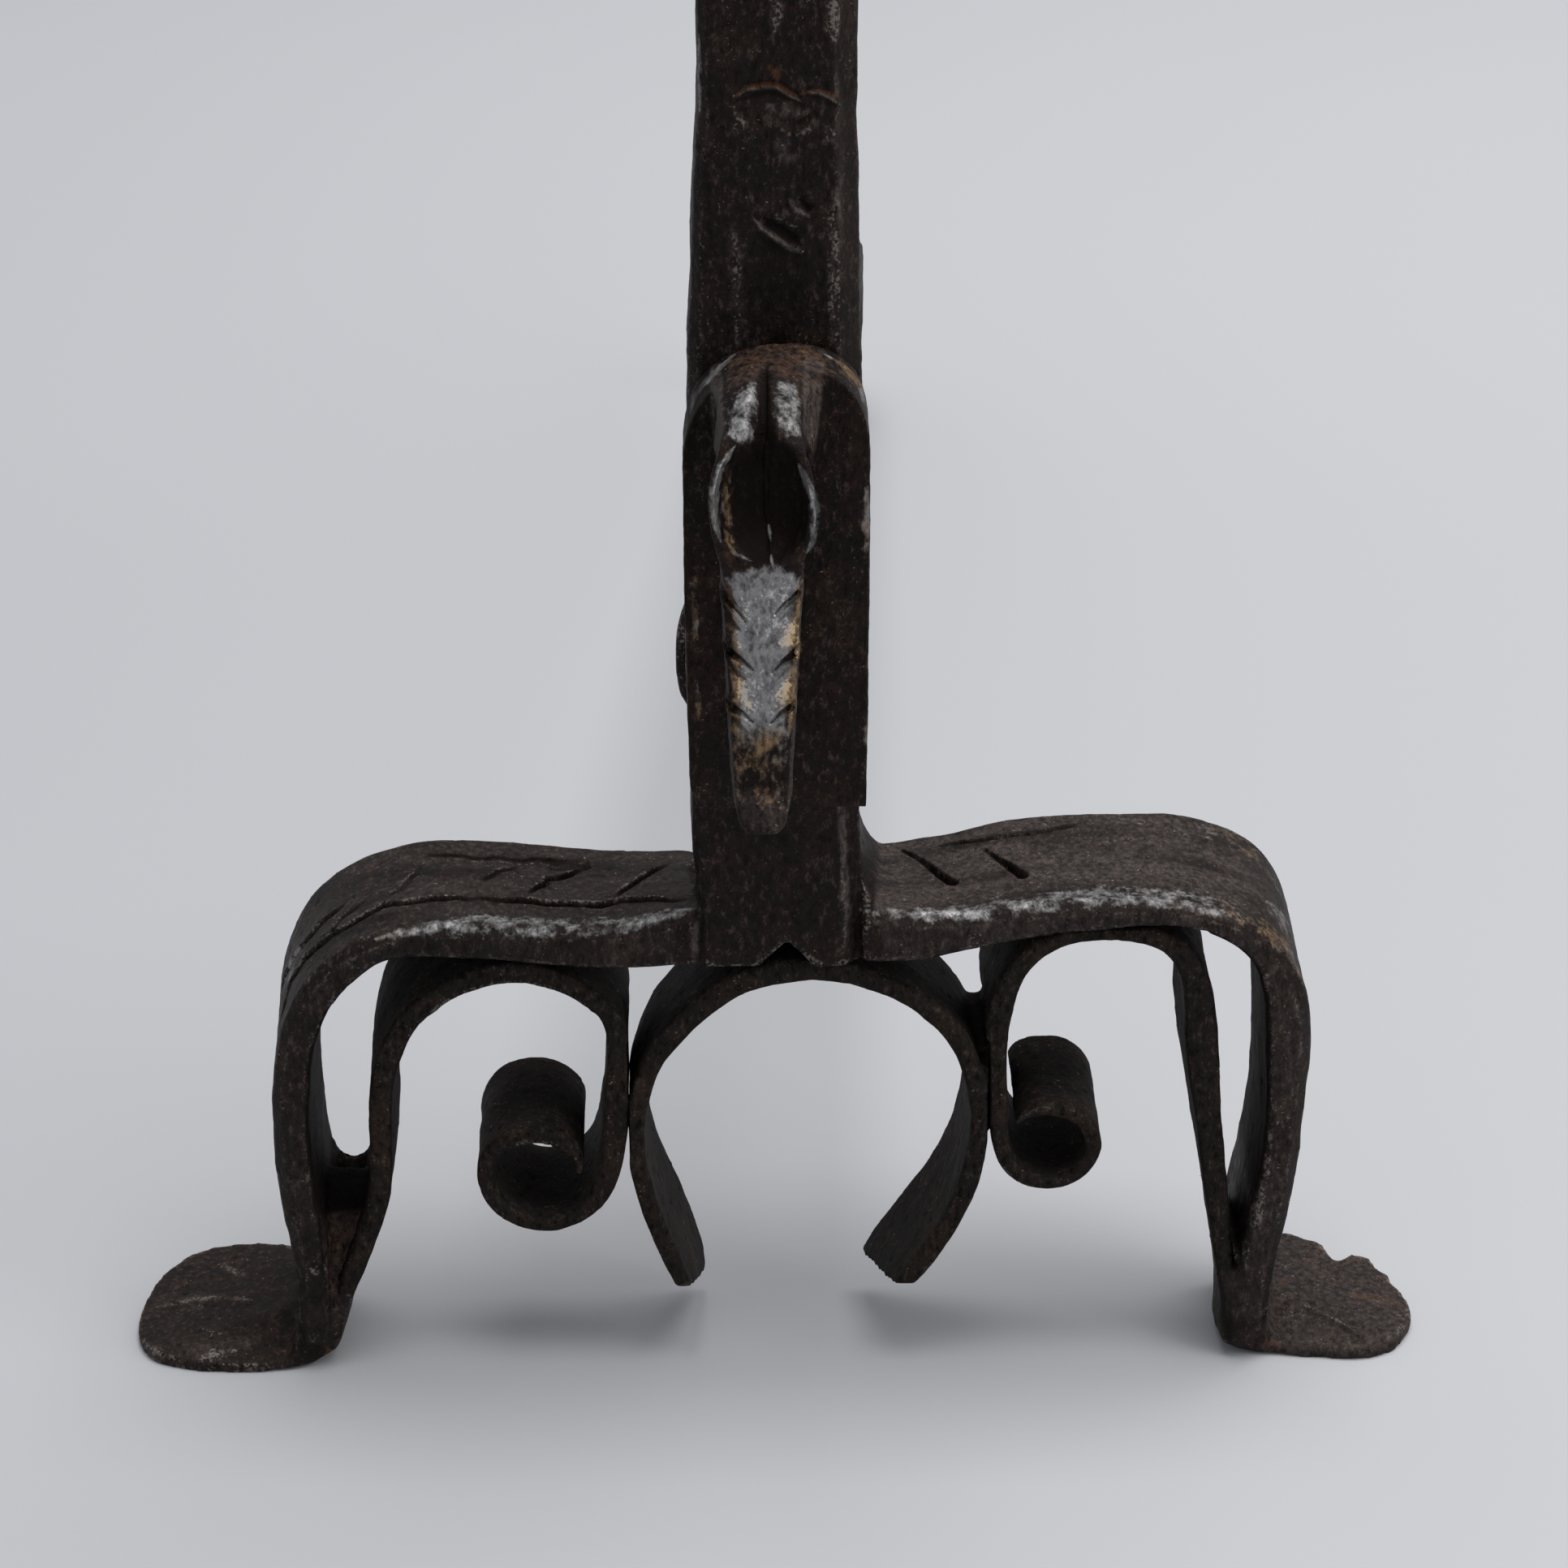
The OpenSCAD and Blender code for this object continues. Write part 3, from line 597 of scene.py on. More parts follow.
WELD_TOP = 50.0     # below this height the standard's skin covers the straps too
LEG_SIDE = 84       # the side of a scroll strap that is welded to a leg lies beyond this |x|


def scaled_surface(f, seed, coarse=16.0, amount=1.0):
    """Forge texture common to every piece: the same place always gets the same marks."""
    f.push(0.35 * amount * noise(f.p, 24.0, seed + 4))
    f.hammer(coarse, 0.46 * amount, seed)
    f.hammer(coarse * 0.45, 0.18 * amount, seed + 1)
    f.push(0.14 * amount * octaves(f.p, 4.6, seed + 2, 3))
    f.pits(3.2, 0.18 * amount, seed + 3, 0.35)


# metal that closes the foot of each weld: the torn break on the left, the lap on the right
PLUGS = [
    [(-109.5, -18.6, 3), (-106.6, -18.6, 3), (-109.5, -18.2, 18), (-103.4, -18.2, 18),
     (-110, -12.5, 35), (-100, -12.5, 35), (-111, -6, 40), (-97, -6, 40),
     (-111, 6, 42.5), (-96, 6, 42.5), (-110, 6, 3), (-106, 6, 3)],
    [(107, -19.4, 3), (114, -19.4, 3), (107, -19.2, 24), (114, -19.2, 24), (107, -12, 29), (114, -12, 29),
     (107, 0, 3), (114, 0, 3), (107, 0, 29), (114, 0, 29)]]

# where the standard's marks are finer than its skin, in photograph pixels
FINE_LINES = [
    [(346, 1256), (358, 1210), (377, 1180), (414, 1149), (473, 1115), (545, 1106), (607, 1107),
     (768, 1109), (848, 1108)],
    [(344, 1230), (352, 1200), (372, 1166), (398, 1136), (424, 1112)],
    [(402, 1160), (424, 1130), (450, 1108)],
    [(474, 1108), (498, 1094), (510, 1076), (517, 1062)],
    [(500, 1060), (575, 1056), (645, 1062), (728, 1061)],
    [(650, 1104), (676, 1084), (700, 1076), (727, 1062)],
    [(754, 1108), (775, 1092), (800, 1076), (822, 1062)],
    [(590, 1086), (615, 1073), (640, 1064)], [(852, 1062), (858, 1090), (856, 1112)],
    [(1112, 1048), (1135, 1060), (1174, 1090)], [(1212, 1046), (1262, 1081)],
    [(1150, 1043), (1210, 1036), (1335, 1015)],
    [(190, 1611), (239, 1599), (312, 1601)], [(239, 1657), (274, 1655), (323, 1650)],
    [(1596, 1602), (1640, 1622), (1679, 1645)], [(405, 1490), (402, 1560), (408, 1612)],
    [(436, 1500), (426, 1545), (412, 1605)],
    [(905, 122), (945, 105), (988, 124), (1011, 115), (1037, 132)],
    [(935, 274), (962, 292), (988, 308)], [(971, 244), (985, 258), (1001, 268)],
    [(950, 78), (958, 100)], [(962, 146), (1000, 146)], [(382, 1486), (384, 1502)],
    [(384, 1566), (402, 1572)]]


def make_standard():
    below_weld = (0, 0, WELD_TOP), (0, 0, 1)
    f = Forging("forged_standard", ["upright", "left_leg", "right_leg", "left_foot", "right_foot"],
                voxel=0.8, soften=2, plugs=PLUGS,
                extra=[("left_scroll", [below_weld, ((-86, 0, 0), (1, 0, 0))]),
                       ("right_scroll", [below_weld, ((90, 0, 0), (-1, 0, 0))])])
    for reach in (14, 8):
        f.refine(FINE_LINES, reach)
    scaled_surface(f, seed=5)
    tear_left_leg(f)
    cut_right_leg(f)
    crease_feet(f)
    fray_left_weld(f)
    gouge_upright(f)
    smooth_joins(f)
    rub_legs(f)
    scale_upright(f)
    scale_legs(f)
    scale_feet(f)
    shade_welds(f)
    f.finish()
    return f


def tear_left_leg(f):
    """The torn skin along the top of the left leg."""
    g, tear = f.groove, f.scarp
    tear([(346, 1256), (358, 1210), (377, 1180), (414, 1149), (473, 1115), (545, 1106), (607, 1107)],
         0.9, 1.6, 5.0, 0.5, 5)
    tear([(590, 1106), (650, 1110), (687, 1113), (743, 1115), (768, 1109), (802, 1107), (848, 1108)],
         0.9, 2.2, 5.0, 0.5, 1)
    tear([(344, 1230), (352, 1200), (372, 1166), (398, 1136), (424, 1112)], 0.8, 1.4, 4.0, 0.6, 19)
    tear([(402, 1160), (424, 1130), (450, 1108)], 0.5, 0.8, 3.0, 0.6, 20)
    tear([(474, 1108), (498, 1094), (510, 1076), (517, 1062)], 0.5, 0.3, 3.0, 0.9, 6)
    tear([(500, 1060), (535, 1055), (575, 1056), (620, 1058), (645, 1062), (680, 1059), (724, 1061)],
         -0.7, 0.7, 4.0, 0.9, 2, -1)
    tear([(650, 1104), (676, 1084), (700, 1076), (727, 1062)], 0.7, 1.1, 3.5, 0.6, 3)
    tear([(754, 1108), (775, 1092), (800, 1076), (822, 1062)], 0.6, 1.0, 3.5, 0.6, 4)
    tear([(590, 1086), (615, 1073), (640, 1064)], 0.4, 0.5, 3.0, 0.6, 21)
    g([(675, 1066), (700, 1066), (728, 1064)], 1.4, 2.0, 0.6, 18, dark=0.5)
    g([(852, 1062), (858, 1090), (856, 1112)], 0.8, 1.0, 0.3, 23, 0.1)


def cut_right_leg(f):
    """Chisel marks on top of the right leg."""
    g = f.groove
    g([(1112, 1048), (1135, 1060), (1158, 1078), (1174, 1088)], 3.2, 0.95, 0.1, 7, 0.3, dark=0.8, wedge=True)
    g([(1214, 1048), (1240, 1065), (1260, 1079)], 3.0, 0.95, 0.1, 8, 0.3, dark=0.8, wedge=True)
    g([(1150, 1043), (1210, 1036), (1290, 1024), (1335, 1015)], 1.5, 0.6, 0.3, 9, 0.3, dark=1.0)


def crease_feet(f):
    """Ridges and a crease across the feet."""
    g = f.groove
    g([(190, 1611), (239, 1599), (274, 1597), (312, 1601)], -0.5, 1.3, 0.4, 11, dark=0.0)
    g([(239, 1657), (274, 1655), (323, 1650)], -0.5, 1.5, 0.4, 10, dark=0.0)
    g([(1596, 1604), (1617, 1614), (1647, 1628), (1679, 1647)], -0.6, 0.9, 0.3, 13, dark=0.0)
    g([(1602, 1599), (1640, 1616), (1678, 1636)], 0.6, 1.2, 0.3, 24, dark=0.4)


def fray_left_weld(f):
    """The fibrous break inside the left weld."""
    g = f.groove
    g([(412, 1520), (411, 1545)], 0.9, 0.5, 0.2, 25, dark=1.0)
    g([(436, 1526), (428, 1556), (416, 1583)], 1.3, 0.5, 0.3, 26, dark=1.0)
    g([(408, 1590), (409, 1614)], 0.9, 0.5, 0.2, 27, dark=1.0)
    g([(396, 1500), (400, 1560), (406, 1600)], 0.7, 0.6, 0.4, 28, dark=0.9)
    g([(422, 1500), (420, 1540), (418, 1565)], 0.5, 0.5, 0.6, 34, dark=0.5)
    g([(446, 1496), (440, 1525), (430, 1560)], 0.6, 0.6, 0.4, 35, dark=0.6)


def gouge_upright(f):
    """The weld seam and gouges of the upright, each a dark hollow over a pale lower lip."""
    g = f.groove
    g([(907, 122), (919, 113), (945, 108), (957, 109), (971, 118), (988, 126)], -0.6, 0.6, 0.4, 14, dark=0.0)
    g([(906, 118), (919, 108), (945, 103), (960, 105), (975, 114), (990, 121)], 0.7, 0.8, 0.4, 29)
    g([(994, 115), (1011, 116), (1024, 122), (1037, 132)], -0.6, 0.6, 0.3, 15, dark=0.0)
    g([(935, 278), (955, 292), (971, 304), (988, 312)], -0.8, 0.7, 0.3, 16, dark=0.0)
    g([(938, 270), (962, 284), (985, 300)], 1.3, 1.5, 0.3, 30)
    g([(971, 244), (981, 259), (998, 268)], -0.6, 0.6, 0.3, 17, dark=0.0)
    g([(982, 245), (992, 254), (1001, 262)], 1.1, 1.3, 0.3, 31)
    g([(962, 142), (980, 150), (1000, 148)], 0.7, 1.3, 0.6, 32, 0.3)
    f.push(0.25 * noise(f.p, (60, 60, 9), 33) * step(150, 170, f.p[:, 2]))


def smooth_joins(f):
    """The legs run into their feet without a step."""
    x, y, z = f.p.T
    f.soothe(step(15, 10, z) * step(104, 106, np.abs(x)) * step(126, 120, np.abs(x)) * step(-8, -14, y), 30)
    seam = np.where(x < 0, step(16, 12, z) * step(4.5, 2.5, np.abs(x + 108)),
                    step(27, 22, z) * step(5.5, 3.0, np.abs(x - 111)))
    f.soothe(seam * step(-8, -12, y), 30)
    x, _, z = f.p.T
    f.soothe(step(-112, -109, x) * step(-95, -98, x) * step(32, 35, z) * step(49, 46, z), 8)


def rub_legs(f):
    """Broken silver along the bevel of both legs, going to bronze over the right bend: rubbed metal that is
    also the bevel's painted highlight.
    """
    bend = [(1492, 1018), (1530, 1036), (1560, 1062)]
    # rubbed metal along the bevels, partly a painted highlight where the light catches them
    f.strokes(
        ("polish", [(462, 1157), (523, 1143), (598, 1138), (668, 1143), (738, 1143), (801, 1133),
                    (856, 1120)], 12, 0.50, 0.8),
        ("polish", [(1060, 1120), (1082, 1126), (1144, 1128), (1225, 1122), (1299, 1111), (1392, 1103),
                    (1466, 1110), (1516, 1123), (1559, 1144), (1592, 1180), (1612, 1215)], 12, 0.50, 0.8),
        ("polish", [(1440, 1012), (1505, 1022), (1560, 1052), (1598, 1105), (1618, 1160)], 16, 0.22, 0.9),
        ("polish", bend, 12, 0.34, 0.9),
        ("polish", [(1560, 1110), (1600, 1160), (1625, 1220)], 10, 0.40),
        ("polish", [(346, 1225), (362, 1180), (378, 1160)], 5, 0.55),
        ("gold", [(1530, 1030), (1572, 1066), (1610, 1130)], 16, 0.6, 0.9),
        ("gold", [(1500, 1110), (1540, 1135), (1580, 1165), (1630, 1240)], 24, 0.75, 0.9),
        ("gold", [(430, 1175), (470, 1157), (520, 1143)], 14, 0.5, 0.9),
        ("gold", bend, 16, 0.9, 0.9),
        ("gold", [(1535, 1132), (1562, 1146), (1592, 1166)], 16, 1.0, 0.9))
    f.marks["polish"] *= np.clip(0.85 + 1.1 * octaves(f.p, (3, 1.8, 1.8), 91, 3), 0, 1.2)


def scale_upright(f):
    """Pale scale down the upright, painted light on its bevelled corner, a painted highlight down its left
    edge, painted shade in its seam and gouges, the lips of the seam and gouges and the rust of the seam.
    """
    _, y, z = f.p.T
    # painted light: pale streaks on the bevelled right-front corner, which faces the light from the right
    corner = step(0.80, 0.95, f.n @ np.array((0.707, -0.707, 0.0))) * step(-19, -20, y) * step(112, 118, z)
    streak = np.clip(0.5 + noise(f.p, (5, 5, 34), 95) + 0.5 * noise(f.p, (2.5, 2.5, 14), 96), 0, 1)
    f.mark("pale", 0.60 * corner * streak)
    for line, width, bright in (([(904, 270), (908, 350), (909, 430)], 8, 0.7),
                                ([(1023, 250), (1026, 330), (1027, 430)], 7, 0.7),
                                ([(1026, -20), (1026, 20), (1028, 52)], 8, 0.9),
                                ([(950, -20), (958, 12), (952, 45)], 8, 0.8),
                                ([(906, 138), (912, 150), (906, 168)], 8, 0.9),
                                ([(1019, 155), (1024, 175)], 6, 0.8)):
        f.strokes(("wear", line, width, bright, 0.9), ("pale", line, width, 0.14, 0.9))
    for line in ([(948, 130), (975, 142), (998, 136)], [(961, 190), (972, 196), (983, 193)],
                 [(955, 178), (972, 180)], [(1000, 150), (1012, 152)]):
        f.stroke("pale", line, 6, 0.5, 0.9)
    for line in ([(907, 120), (919, 111), (945, 106)], [(957, 108), (971, 117), (988, 125)],
                 [(994, 114), (1011, 115), (1024, 121), (1037, 131)]):
        f.stroke("pale", line, 1.6, 0.6)
    for line in ([(971, 244), (981, 259), (998, 268)],
                 [(929, 270), (938, 280), (955, 293), (971, 305), (988, 313)]):
        f.stroke("pale", line, 3.2, 0.75)
    # a painted highlight down the left edge; painted shade in the seam, in a gouge and in a broad band above
    # the hook
    f.strokes(("polish", [(861, 40), (861, 90), (862, 140)], 3.0, 0.45, 0.9),
              ("cavity", [(905, 125), (945, 112), (975, 122), (990, 130)], 4.0, 0.8),
              ("cavity", [(938, 268), (962, 284), (988, 302)], 7.0, 0.9),
              ("cavity", [(960, 290), (962, 350), (960, 420)], 34, 0.6, 0.6))
    # rust along the upright's weld seam
    f.strokes(("rust", [(905, 119), (919, 108), (945, 103), (957, 104), (985, 120)], 3.5, 0.65, 0.8),
              ("rust", [(947, 80), (956, 90), (958, 100)], 5, 0.6, 0.9),
              ("rust", [(985, 116), (1010, 112), (1036, 120)], 3.5, 0.65, 0.8))


def scale_legs(f):
    """Pale scale on the tops and fronts of the legs, more of it on the right; it also paints the sheen on the
    tops and the light from the right.
    """
    x, _, z = f.p.T
    right = x > 0
    # painted sheen and light: pale on the tops and fronts, stronger on the right leg
    top = step(0.55, 0.95, f.n[:, 2]) * step(96, 104, z)
    f.mark("pale", np.where(right, 0.50, 0.27) * top * np.clip(0.55 + octaves(f.p, (24, 4, 7), 98, 3), 0, 1))
    fronts = step(-0.7, -0.9, f.n[:, 1]) * (np.abs(x) > 24) * step(10, 16, z)
    f.mark("pale", np.where(right, 0.27, 0.16) * fronts * np.clip(0.6 + octaves(f.p, 12, 99, 3), 0, 1))


def scale_feet(f):
    """Mauve-brown feet with warm tints, bright streaks that are painted highlights along their ridges, a
    painted reflection on the left foot and painted shade on the right foot's front slope.
    """
    x, _, z = f.p.T
    right = x > 0
    foot = step(113, 120, np.abs(x)) * step(12, 8, z)
    f.mark("pale", np.where(right, 0.34, 0.08) * foot)
    f.mark("rust", np.where(right, 0.30, 0.12) * foot * np.clip(0.3 + octaves(f.p, 14, 97, 3), 0, 1))
    # painted highlights along the ridges of the feet
    for line, width, bright in (([(270, 1558), (283, 1564), (305, 1573)], 4, 0.9),
                                ([(234, 1673), (272, 1668), (292, 1664)], 5, 1.0),
                                ([(190, 1611), (239, 1601), (274, 1598), (312, 1602)], 4, 0.7),
                                ([(236, 1610), (252, 1611)], 5, 0.9),
                                ([(1596, 1604), (1617, 1614), (1647, 1628), (1679, 1647)], 3, 0.9)):
        f.strokes(("wear", line, width, bright, 0.9), ("pale", line, width, 0.3, 0.9))
    f.strokes(("rust", [(1660, 1595), (1699, 1601), (1726, 1605)], 6, 0.5, 0.9),
              ("rust", [(1561, 1650), (1570, 1660), (1576, 1655)], 12, 0.45, 0.9),
              ("rust", [(1574, 1578), (1586, 1580)], 8, 0.5),
              ("rust", [(1712, 1575), (1720, 1583)], 6, 0.6),
              ("rust", [(402, 1668), (409, 1664)], 6, 0.9))
    # a painted reflection on the front of the left foot
    f.area("pale", [(225, 1655), (275, 1650), (325, 1643), (320, 1658), (270, 1668), (235, 1668)], 0.3, 7.0)
    # painted shade on the right foot's front slope
    rim = foot * right * step(-0.25, -0.6, f.n[:, 1])
    f.mark("cavity", 0.9 * rim)


def shade_welds(f):
    """The brown break in the left weld, painted shade on the lap in the right one, a painted highlight down
    the right leg's front-left edge, and painted shade on the shelf atop the left weld and on the legs' inner
    sides.
    """
    x, _, z = f.p.T
    # bright flakes at the left weld
    for line, width in (([(399, 1558), (403, 1575), (401, 1588)], 3), ([(382, 1563), (394, 1569)], 5),
                        ([(381, 1486), (384, 1503)], 3)):
        f.strokes(("wear", line, width, 1.0, 0.9), ("polish", line, width, 0.2, 0.9))
    torn = [(398, 1496), (452, 1490), (444, 1525), (420, 1590), (410, 1612), (404, 1600), (400, 1550)]
    f.area("pale", torn, 0.20, 4.0)
    f.area("rust", torn, 0.30, 4.0)
    # painted shade on the lap in the right weld
    f.area("cavity", [(1496, 1580), (1524, 1560), (1519, 1600), (1518, 1655), (1502, 1630)], 0.8, 4.0)
    # a painted highlight down the right leg's front-left edge
    f.stroke("wear", [(1558, 1205), (1560, 1304), (1560, 1387), (1558, 1450), (1550, 1512), (1537, 1553)],
             5, 1.0, 0.9)
    # painted shade on the shelf atop the left weld
    f.mark("cavity", step(-113, -110, x) * step(-94, -97, x) * step(36, 39, z) * step(50, 46, z)
           * step(0.3, 0.6, f.n[:, 2]))
    # painted shade on the legs' inner sides, between the legs and the scrolls
    inward = np.where(x < 0, f.n[:, 0], -f.n[:, 0]) * (np.abs(x) > LEG_SIDE)
    f.mark("cavity", step(0.5, 0.8, inward) * step(118, 108, z) * step(42, 50, z))


# weld metal between the arch and the right scroll, at the bottom of the V between them
WEB = [[(x, y, z) for y in (-13, 15) for x, z in ((46.8, 62), (46.4, 84.3), (51.0, 84.8), (51.0, 62))],
       [(x, y, z) for y in (-13, 15) for x, z in ((48.8, 84.2), (51.0, 91.5), (51.0, 80))]]


def make_strap(name, node):
    f = Forging(name, [node], voxel=0.7, plugs=WEB if node == "centre_arch" else ())
    scaled_surface(f, seed=5)
    x, _, z = f.p.T
    if node != "centre_arch":
        # the foot of the strap lies just inside the standard's skin, which has the weld
        outer = np.abs(x) > LEG_SIDE
        f.push(-0.25 * step(WELD_TOP - 2, WELD_TOP - 7, z) * outer)
        # painted shade on the face of the strand beside the leg that turns towards the roll
        away = step(0.6, 0.9, f.n[:, 0] * (1 if node == "left_scroll" else -1)) * outer * step(100, 90, z)
        f.mark("cavity", 0.9 * away)
    if node == "left_scroll":
        # the rolled end is thicker on the inside, and the crown over it
        x = f.p[:, 0]
        inner = step(0.2, 0.7, f.n @ np.array((0.15, 0.0, -0.99))) * step(55, 60, z)
        f.push(1.3 * inner * step(-67, -62, x) * step(-46, -49, x) * step(72, 70, z)
               + 0.8 * inner * step(-86, -80, x) * step(96, 100, z))
    f.finish(gain=1.8)
    return f


# the upper corners of the spit hook's plate, right and left, in photograph pixels
SHOULDERS = [[(1015, 436), (1038, 449), (1060, 475), (1071, 506), (1073, 540)],
             [(850, 512), (855, 489), (868, 472), (881, 458), (907, 436)]]


# where the hook's marks are finer than its skin
HOOK_LINES = [
    [(943, 455), (943, 560), (945, 629), (951, 697)], [(889, 731), (917, 768)],
    [(894, 795), (926, 827)], [(897, 866), (928, 893)], [(986, 724), (956, 757)],
    [(982, 802), (952, 831)], [(974, 871), (948, 895)],
    [(906, 549), (887, 575), (880, 630), (888, 668)],
    [(984, 571), (1005, 637), (995, 681)], *SHOULDERS]


def make_hook():
    f = Forging("spit_hook_forging", ["spit_hook"], voxel=0.5, soften=2)
    f.refine(HOOK_LINES, reach=16)
    cut_tongue(f)
    f.hammer(15.0, 0.25, 31)
    f.hammer(4.0, 0.14, 32)
    f.push(0.11 * octaves(f.p, 2.6, 33, 3))
    raise_head(f)
    rub_tongue(f)
    rub_cup(f)
    stain_hook(f)
    darken_cup(f)
    wear_plate(f)
    f.finish(reach=8, gain=2.5)
    return f


def cut_tongue(f):
    """A fine ridge up the middle of the cup, the chisel cuts and the cleft."""
    f.groove([(943, 549), (944, 583), (945, 629), (949, 651), (951, 697)], -0.6, 0.5, 0.15, 21, dark=0.0)
    for line in ([(918, 766), (889, 731)], [(927, 826), (893, 795)], [(927, 890), (897, 866)],
                 [(956, 757), (987, 724)], [(952, 829), (982, 802)], [(951, 891), (974, 871)]):
        f.groove(line, 1.5, 0.90, 0.05, 22, 0.4, dark=1.0, wedge=True)
    f.groove([(943, 452), (942, 490), (941, 548)], 1.0, 0.6, 0.05, 24, dark=1.0)


def raise_head(f):
    """The plate's round head rises a little behind the saddle."""
    _, y, z = f.p.T
    raised = f.p.copy()
    raised[:, 2] += 1.7 * step(-44, -32, y) * step(z.max() - 22, z.max() - 3, z)
    f.set(raised)


def rub_tongue(f):
    """Silver facets each side of the cleft, silver down the middle of the tongue."""
    f.area("polish", [(909, 480), (931, 472), (930, 505), (927, 540), (915, 545), (896, 538), (898, 508)],
           0.64, 9.0)
    f.area("polish", [(955, 468), (977, 472), (987, 495), (987, 536), (977, 538), (960, 541), (954, 508)],
           0.46, 9.0)
    f.area("polish", [(894, 712), (925, 700), (960, 700), (986, 712), (982, 760), (978, 800), (974, 850),
                      (970, 890), (935, 896), (908, 888), (905, 846), (903, 800), (900, 755)], 0.76, 9.0)
    # bright lobes between the chisel marks, bronze to the edges and down to the tip
    for lobe, warm in (([(903, 716), (917, 724), (925, 762), (912, 752)], 0.3),
                       ([(896, 762), (916, 772), (926, 818), (905, 802)], 0.4),
                       ([(898, 822), (922, 834), (932, 884), (906, 868)], 0.45),
                       ([(972, 704), (984, 712), (974, 738), (950, 760), (962, 728)], 0.4),
                       ([(986, 742), (984, 792), (960, 812), (952, 790), (968, 768)], 0.6),
                       ([(980, 812), (977, 862), (952, 884), (948, 858), (962, 838)], 0.6)):
        f.area("polish", lobe, 0.95, 9.0)
        f.area("gold", lobe, 0.12 + 0.7 * warm, 9.0)
    f.strokes(("gold", [(986, 716), (985, 790), (980, 850), (974, 920)], 14, 1.0, 0.9),
              ("polish", [(984, 712), (983, 790), (978, 850), (971, 915)], 4.5, 0.78, 0.9),
              ("gold", [(894, 716), (897, 800), (900, 870), (903, 930)], 16, 1.0, 0.9))
    for top, bottom, much in ((870, 905, 0.80), (896, 930, 0.62), (920, 955, 0.46), (945, 995, 0.30)):
        f.area("polish", [(900, top), (971, top), (967, bottom), (906, bottom)], much, 16.0)
    f.area("gold", [(896, 895), (974, 895), (968, 1000), (905, 1000)], 0.95, 30.0)
    # painted shade along the chisel cuts and the tongue's left edge
    for line in ([(889, 718), (893, 760), (914, 778)], [(892, 790), (896, 822), (920, 838)],
                 [(895, 855), (899, 885), (922, 902)]):
        f.stroke("cavity", line, 6, 0.75, 0.9)
    for line in ([(989, 734), (962, 764)], [(984, 810), (958, 838)], [(977, 876), (955, 898)]):
        f.stroke("cavity", line, 4, 0.6, 0.9)
    uneven = 0.96 + 0.45 * octaves(f.p, 4.0, 35, 3)
    uneven += step(860, 930, pixels_of(f.p)[:, 1]) * 0.7 * octaves(f.p, 2.2, 37, 2)
    f.marks["polish"] *= np.clip(uneven, 0, 1.1)


def rub_cup(f):
    """The rims of the cup, rubbed bright with a painted highlight along their crests, and a painted
    reflection in silver and gold on the cup's left wall.
    """
    # rubbed rims, the narrow bright strokes a painted highlight along their crests
    f.strokes(
        ("polish", [(906, 549), (887, 575), (881, 600), (880, 630), (883, 650), (888, 668)], 6.0, 0.52, 0.8),
        ("polish", [(896, 560), (887, 575), (881, 600), (880, 630), (882, 646)], 2.6, 0.95, 0.8),
        ("polish", [(984, 571), (993, 590), (1001, 612), (1005, 637), (1002, 664), (995, 681)],
         6.0, 0.52, 0.8),
        ("polish", [(988, 580), (1001, 612), (1005, 637), (1003, 658)], 2.6, 0.95, 0.8),
        ("polish", [(947, 645), (950, 668)], 1.8, 0.62, 0.8),
        ("polish", [(950, 682), (952, 697)], 1.8, 0.62, 0.8),
        ("polish", [(892, 664), (906, 682), (928, 692)], 2.6, 0.55, 0.8))
    # a painted reflection on the cup's left wall
    wall = f.inside([(893, 580), (903, 596), (901, 640), (908, 682), (893, 665), (888, 625)], 4.0)
    f.mark("polish", wall * np.clip(0.36 + 0.8 * octaves(f.p, (1.6, 1.6, 2.4), 38, 3), 0, 0.75))
    f.area("gold", [(890, 580), (906, 590), (906, 685), (890, 668)], 1.0, 3.0)


def stain_hook(f):
    """Brown saddle with gold specks, mauve sides of the neck, grey side and tip of the tongue."""
    _, y, z = f.p.T
    saddle = [(898, 432), (950, 420), (1000, 426), (1022, 442), (1016, 476), (990, 470), (955, 462),
              (943, 450), (930, 470), (908, 478), (893, 472)]
    f.area("pale", saddle, 0.20, 6.0)
    f.area("rust", saddle, 0.38, 6.0)
    crest = [(905, 455), (935, 436), (975, 430), (1000, 437)]
    f.strokes(("polish", crest, 12, 0.17), ("gold", crest, 18, 1.0),
              ("polish", [(1018, 448), (1040, 456), (1056, 472)], 9, 0.18),
              ("gold", [(1010, 448), (1040, 456), (1062, 476)], 14, 1.0))
    f.area("pale", [(874, 452), (889, 447), (892, 530), (880, 560)], 0.55, 2.0)
    neck = [(990, 440), (1016, 446), (1012, 500), (1004, 560), (997, 548), (989, 532), (989, 470)]
    f.area("pale", neck, 0.55, 2.0)
    f.area("rust", neck, 0.22, 2.0)
    side = step(0.30, 0.65, f.n[:, 0]) * step(-44, -47, y) * step(226, 222, z)
    f.mark("pale", 0.5 * side)
    f.area("pale", [(905, 975), (962, 975), (972, 1000), (960, 1030), (925, 1020), (905, 1000)], 0.32, 8.0)
    f.area("rust", [(888, 672), (905, 690), (940, 700), (985, 692), (990, 680), (960, 705), (905, 708)],
           0.35, 3.0)
    f.stroke("rust", [(942, 972), (948, 974)], 5, 1.0)


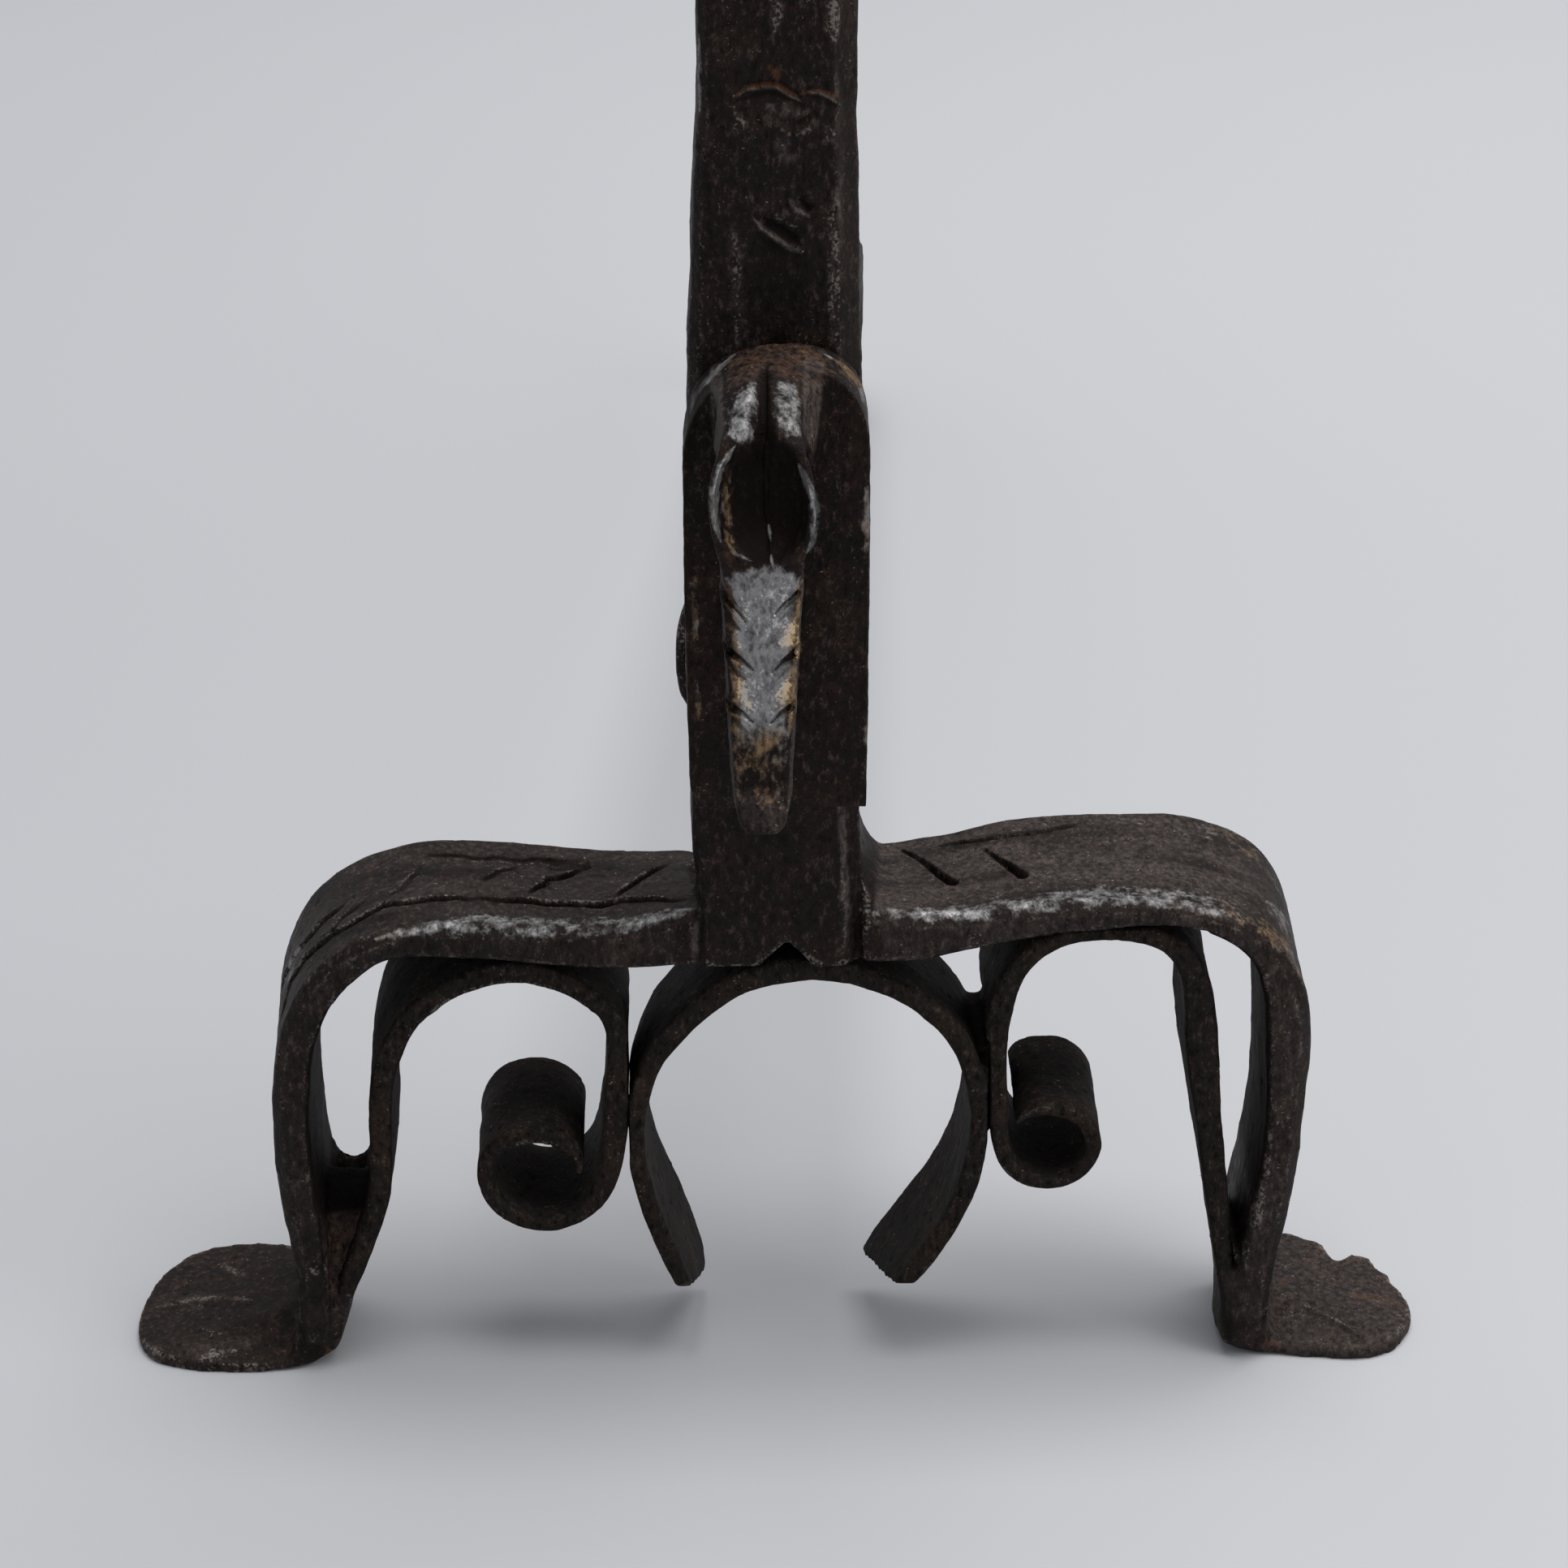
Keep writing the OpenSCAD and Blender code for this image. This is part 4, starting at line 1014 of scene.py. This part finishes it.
def darken_cup(f):
    """Painted shade inside the cup and the cleft, where nothing is rubbed."""
    cup = f.inside([(914, 545), (975, 545), (990, 580), (998, 620), (992, 665), (960, 694), (925, 694),
                    (905, 665), (896, 620), (903, 575)], 3.0)
    cleft = f.inside([(943, 454), (953, 490), (953, 545), (928, 545), (934, 490)], 2.0)
    f.mark("cavity", 0.9 * np.maximum(cup * (f.p[:, 1] < -40), cleft) * (f.marks["polish"] < 0.1))


def wear_plate(f):
    """Spots worn along the plate's edges, kept apart from the bright marks so far, and painted shade on its
    left shoulder."""
    spots = np.clip(0.35 + 1.6 * octaves(f.p, (8, 8, 11), 36, 3), 0, 1)
    so_far = f.marks["polish"]
    f.marks["polish"] = np.zeros(len(f.p))
    f.strokes(("polish", [(1067, 560), (1069, 700), (1069, 820), (1067, 960)], 6, 0.7),
              ("polish", [(853, 620), (856, 760), (861, 900)], 5, 0.5))
    f.mark("gold", 0.7 * (f.marks["polish"] > 0.02))
    f.marks["polish"] = np.maximum(so_far, f.marks["polish"] * spots)
    for line in SHOULDERS:
        f.stroke("polish", line, 3.4, 0.72, 0.7)
    # painted shade on the left shoulder
    f.area("cavity", [(838, 580), (840, 530), (850, 488), (868, 458), (884, 446), (888, 452), (872, 470),
                      (862, 500), (858, 540), (856, 580)], 0.85, 4.0)


def make_bar():
    f = Forging("log_bar_forging", ["log_bar"], voxel=1.1)
    scaled_surface(f, seed=41, coarse=20.0, amount=1.1)
    f.finish(reach=8, gain=2.5)
    return f


def make_rivets():
    f = Forging("rivet_pair", ["rivets"], voxel=0.6, soften=2)
    f.hammer(7.0, 0.25, 51)
    f.finish()
    return f


def dress(f, material):
    f.me.materials.append(material)
    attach(f.ob, "root")
    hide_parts(*f.nodes)


# ---- floor and light -------------------------------------------------------

def make_stage():
    bm = bmesh.new()
    bmesh.ops.create_circle(bm, cap_ends=True, segments=96, radius=6.0)
    me = bpy.data.meshes.new("floor")
    bm.to_mesh(me)
    bm.free()
    floor = bpy.data.objects.new("floor", me)
    floor.location = (0, 0.5, 0)
    bpy.context.scene.collection.objects.link(floor)
    g = Nodes("paper")
    parts = g.tree.nodes.new("ShaderNodeSeparateXYZ")
    g.link(g.coord, parts.inputs[0])
    # the paper, from left to right, near the camera and far from it: painted light, darker near the camera
    # and on the left, lighter far off and on the right
    near = g.mix(g.span(parts.outputs["X"], -0.35, 0.35), (0.472, 0.479, 0.503), (0.508, 0.512, 0.532))
    far = g.mix(g.span(parts.outputs["X"], -0.35, 0.35), (0.560, 0.565, 0.590), (0.612, 0.616, 0.640))
    tone = g.mix(g.span(parts.outputs["Y"], -0.30, 0.62), near, far)
    tone = g.mix(g.math("MULTIPLY", g.span(g.noise(1.6, 2, 0.5), 0.3, 0.7), 0.3), tone, (0.53, 0.535, 0.56))
    me.materials.append(g.shader(tone, 0.85, 0.0, g.noise(260, 3, 0.6), 0.0002, 0.15))
    world = bpy.data.worlds.new("room")
    bpy.context.scene.world = world
    world.use_nodes = True
    bg = world.node_tree.nodes["Background"]
    bg.inputs["Color"].default_value = (0.93, 0.95, 1.0, 1)
    bg.inputs["Strength"].default_value = 0.42
    for name, place, size, power, color in (
            ("overhead", (0.42, 0.0, 2.4), 1.8, 52.0, (1.0, 0.99, 0.97)),
            ("side", (1.5, -0.7, 1.1), 0.9, 6.0, (1.0, 0.99, 0.98))):
        data = bpy.data.lights.new(name, "AREA")
        data.size, data.energy, data.color = size, power, color
        ob = bpy.data.objects.new(name, data)
        ob.location = place
        aim = Vector((0.0, 0.05, 0.15)) - Vector(place)
        ob.rotation_euler = aim.to_track_quat("-Z", "Y").to_euler()
        bpy.context.scene.collection.objects.link(ob)


make_camera()
make_stage()
dark = iron("old_iron", (0.0078, 0.0063, 0.0057), (0.0195, 0.0124, 0.0096), 0.55)
strap = iron("strap_iron", (0.0130, 0.0115, 0.0102), (0.0250, 0.0178, 0.0140), 0.55, 0.07, (0.60, 0.80))
worn = iron("worn_iron", (0.0068, 0.0053, 0.0047), (0.0195, 0.0110, 0.0082), 0.62)
dress(make_standard(), dark)
dress(make_strap("left_scroll_strap", "left_scroll"), strap)
dress(make_strap("right_scroll_strap", "right_scroll"), strap)
dress(make_strap("arch_strap", "centre_arch"), strap)
dress(make_hook(), worn)
dress(make_bar(), dark)
dress(make_rivets(), strap)

bpy.context.scene.view_settings.view_transform = "Standard"
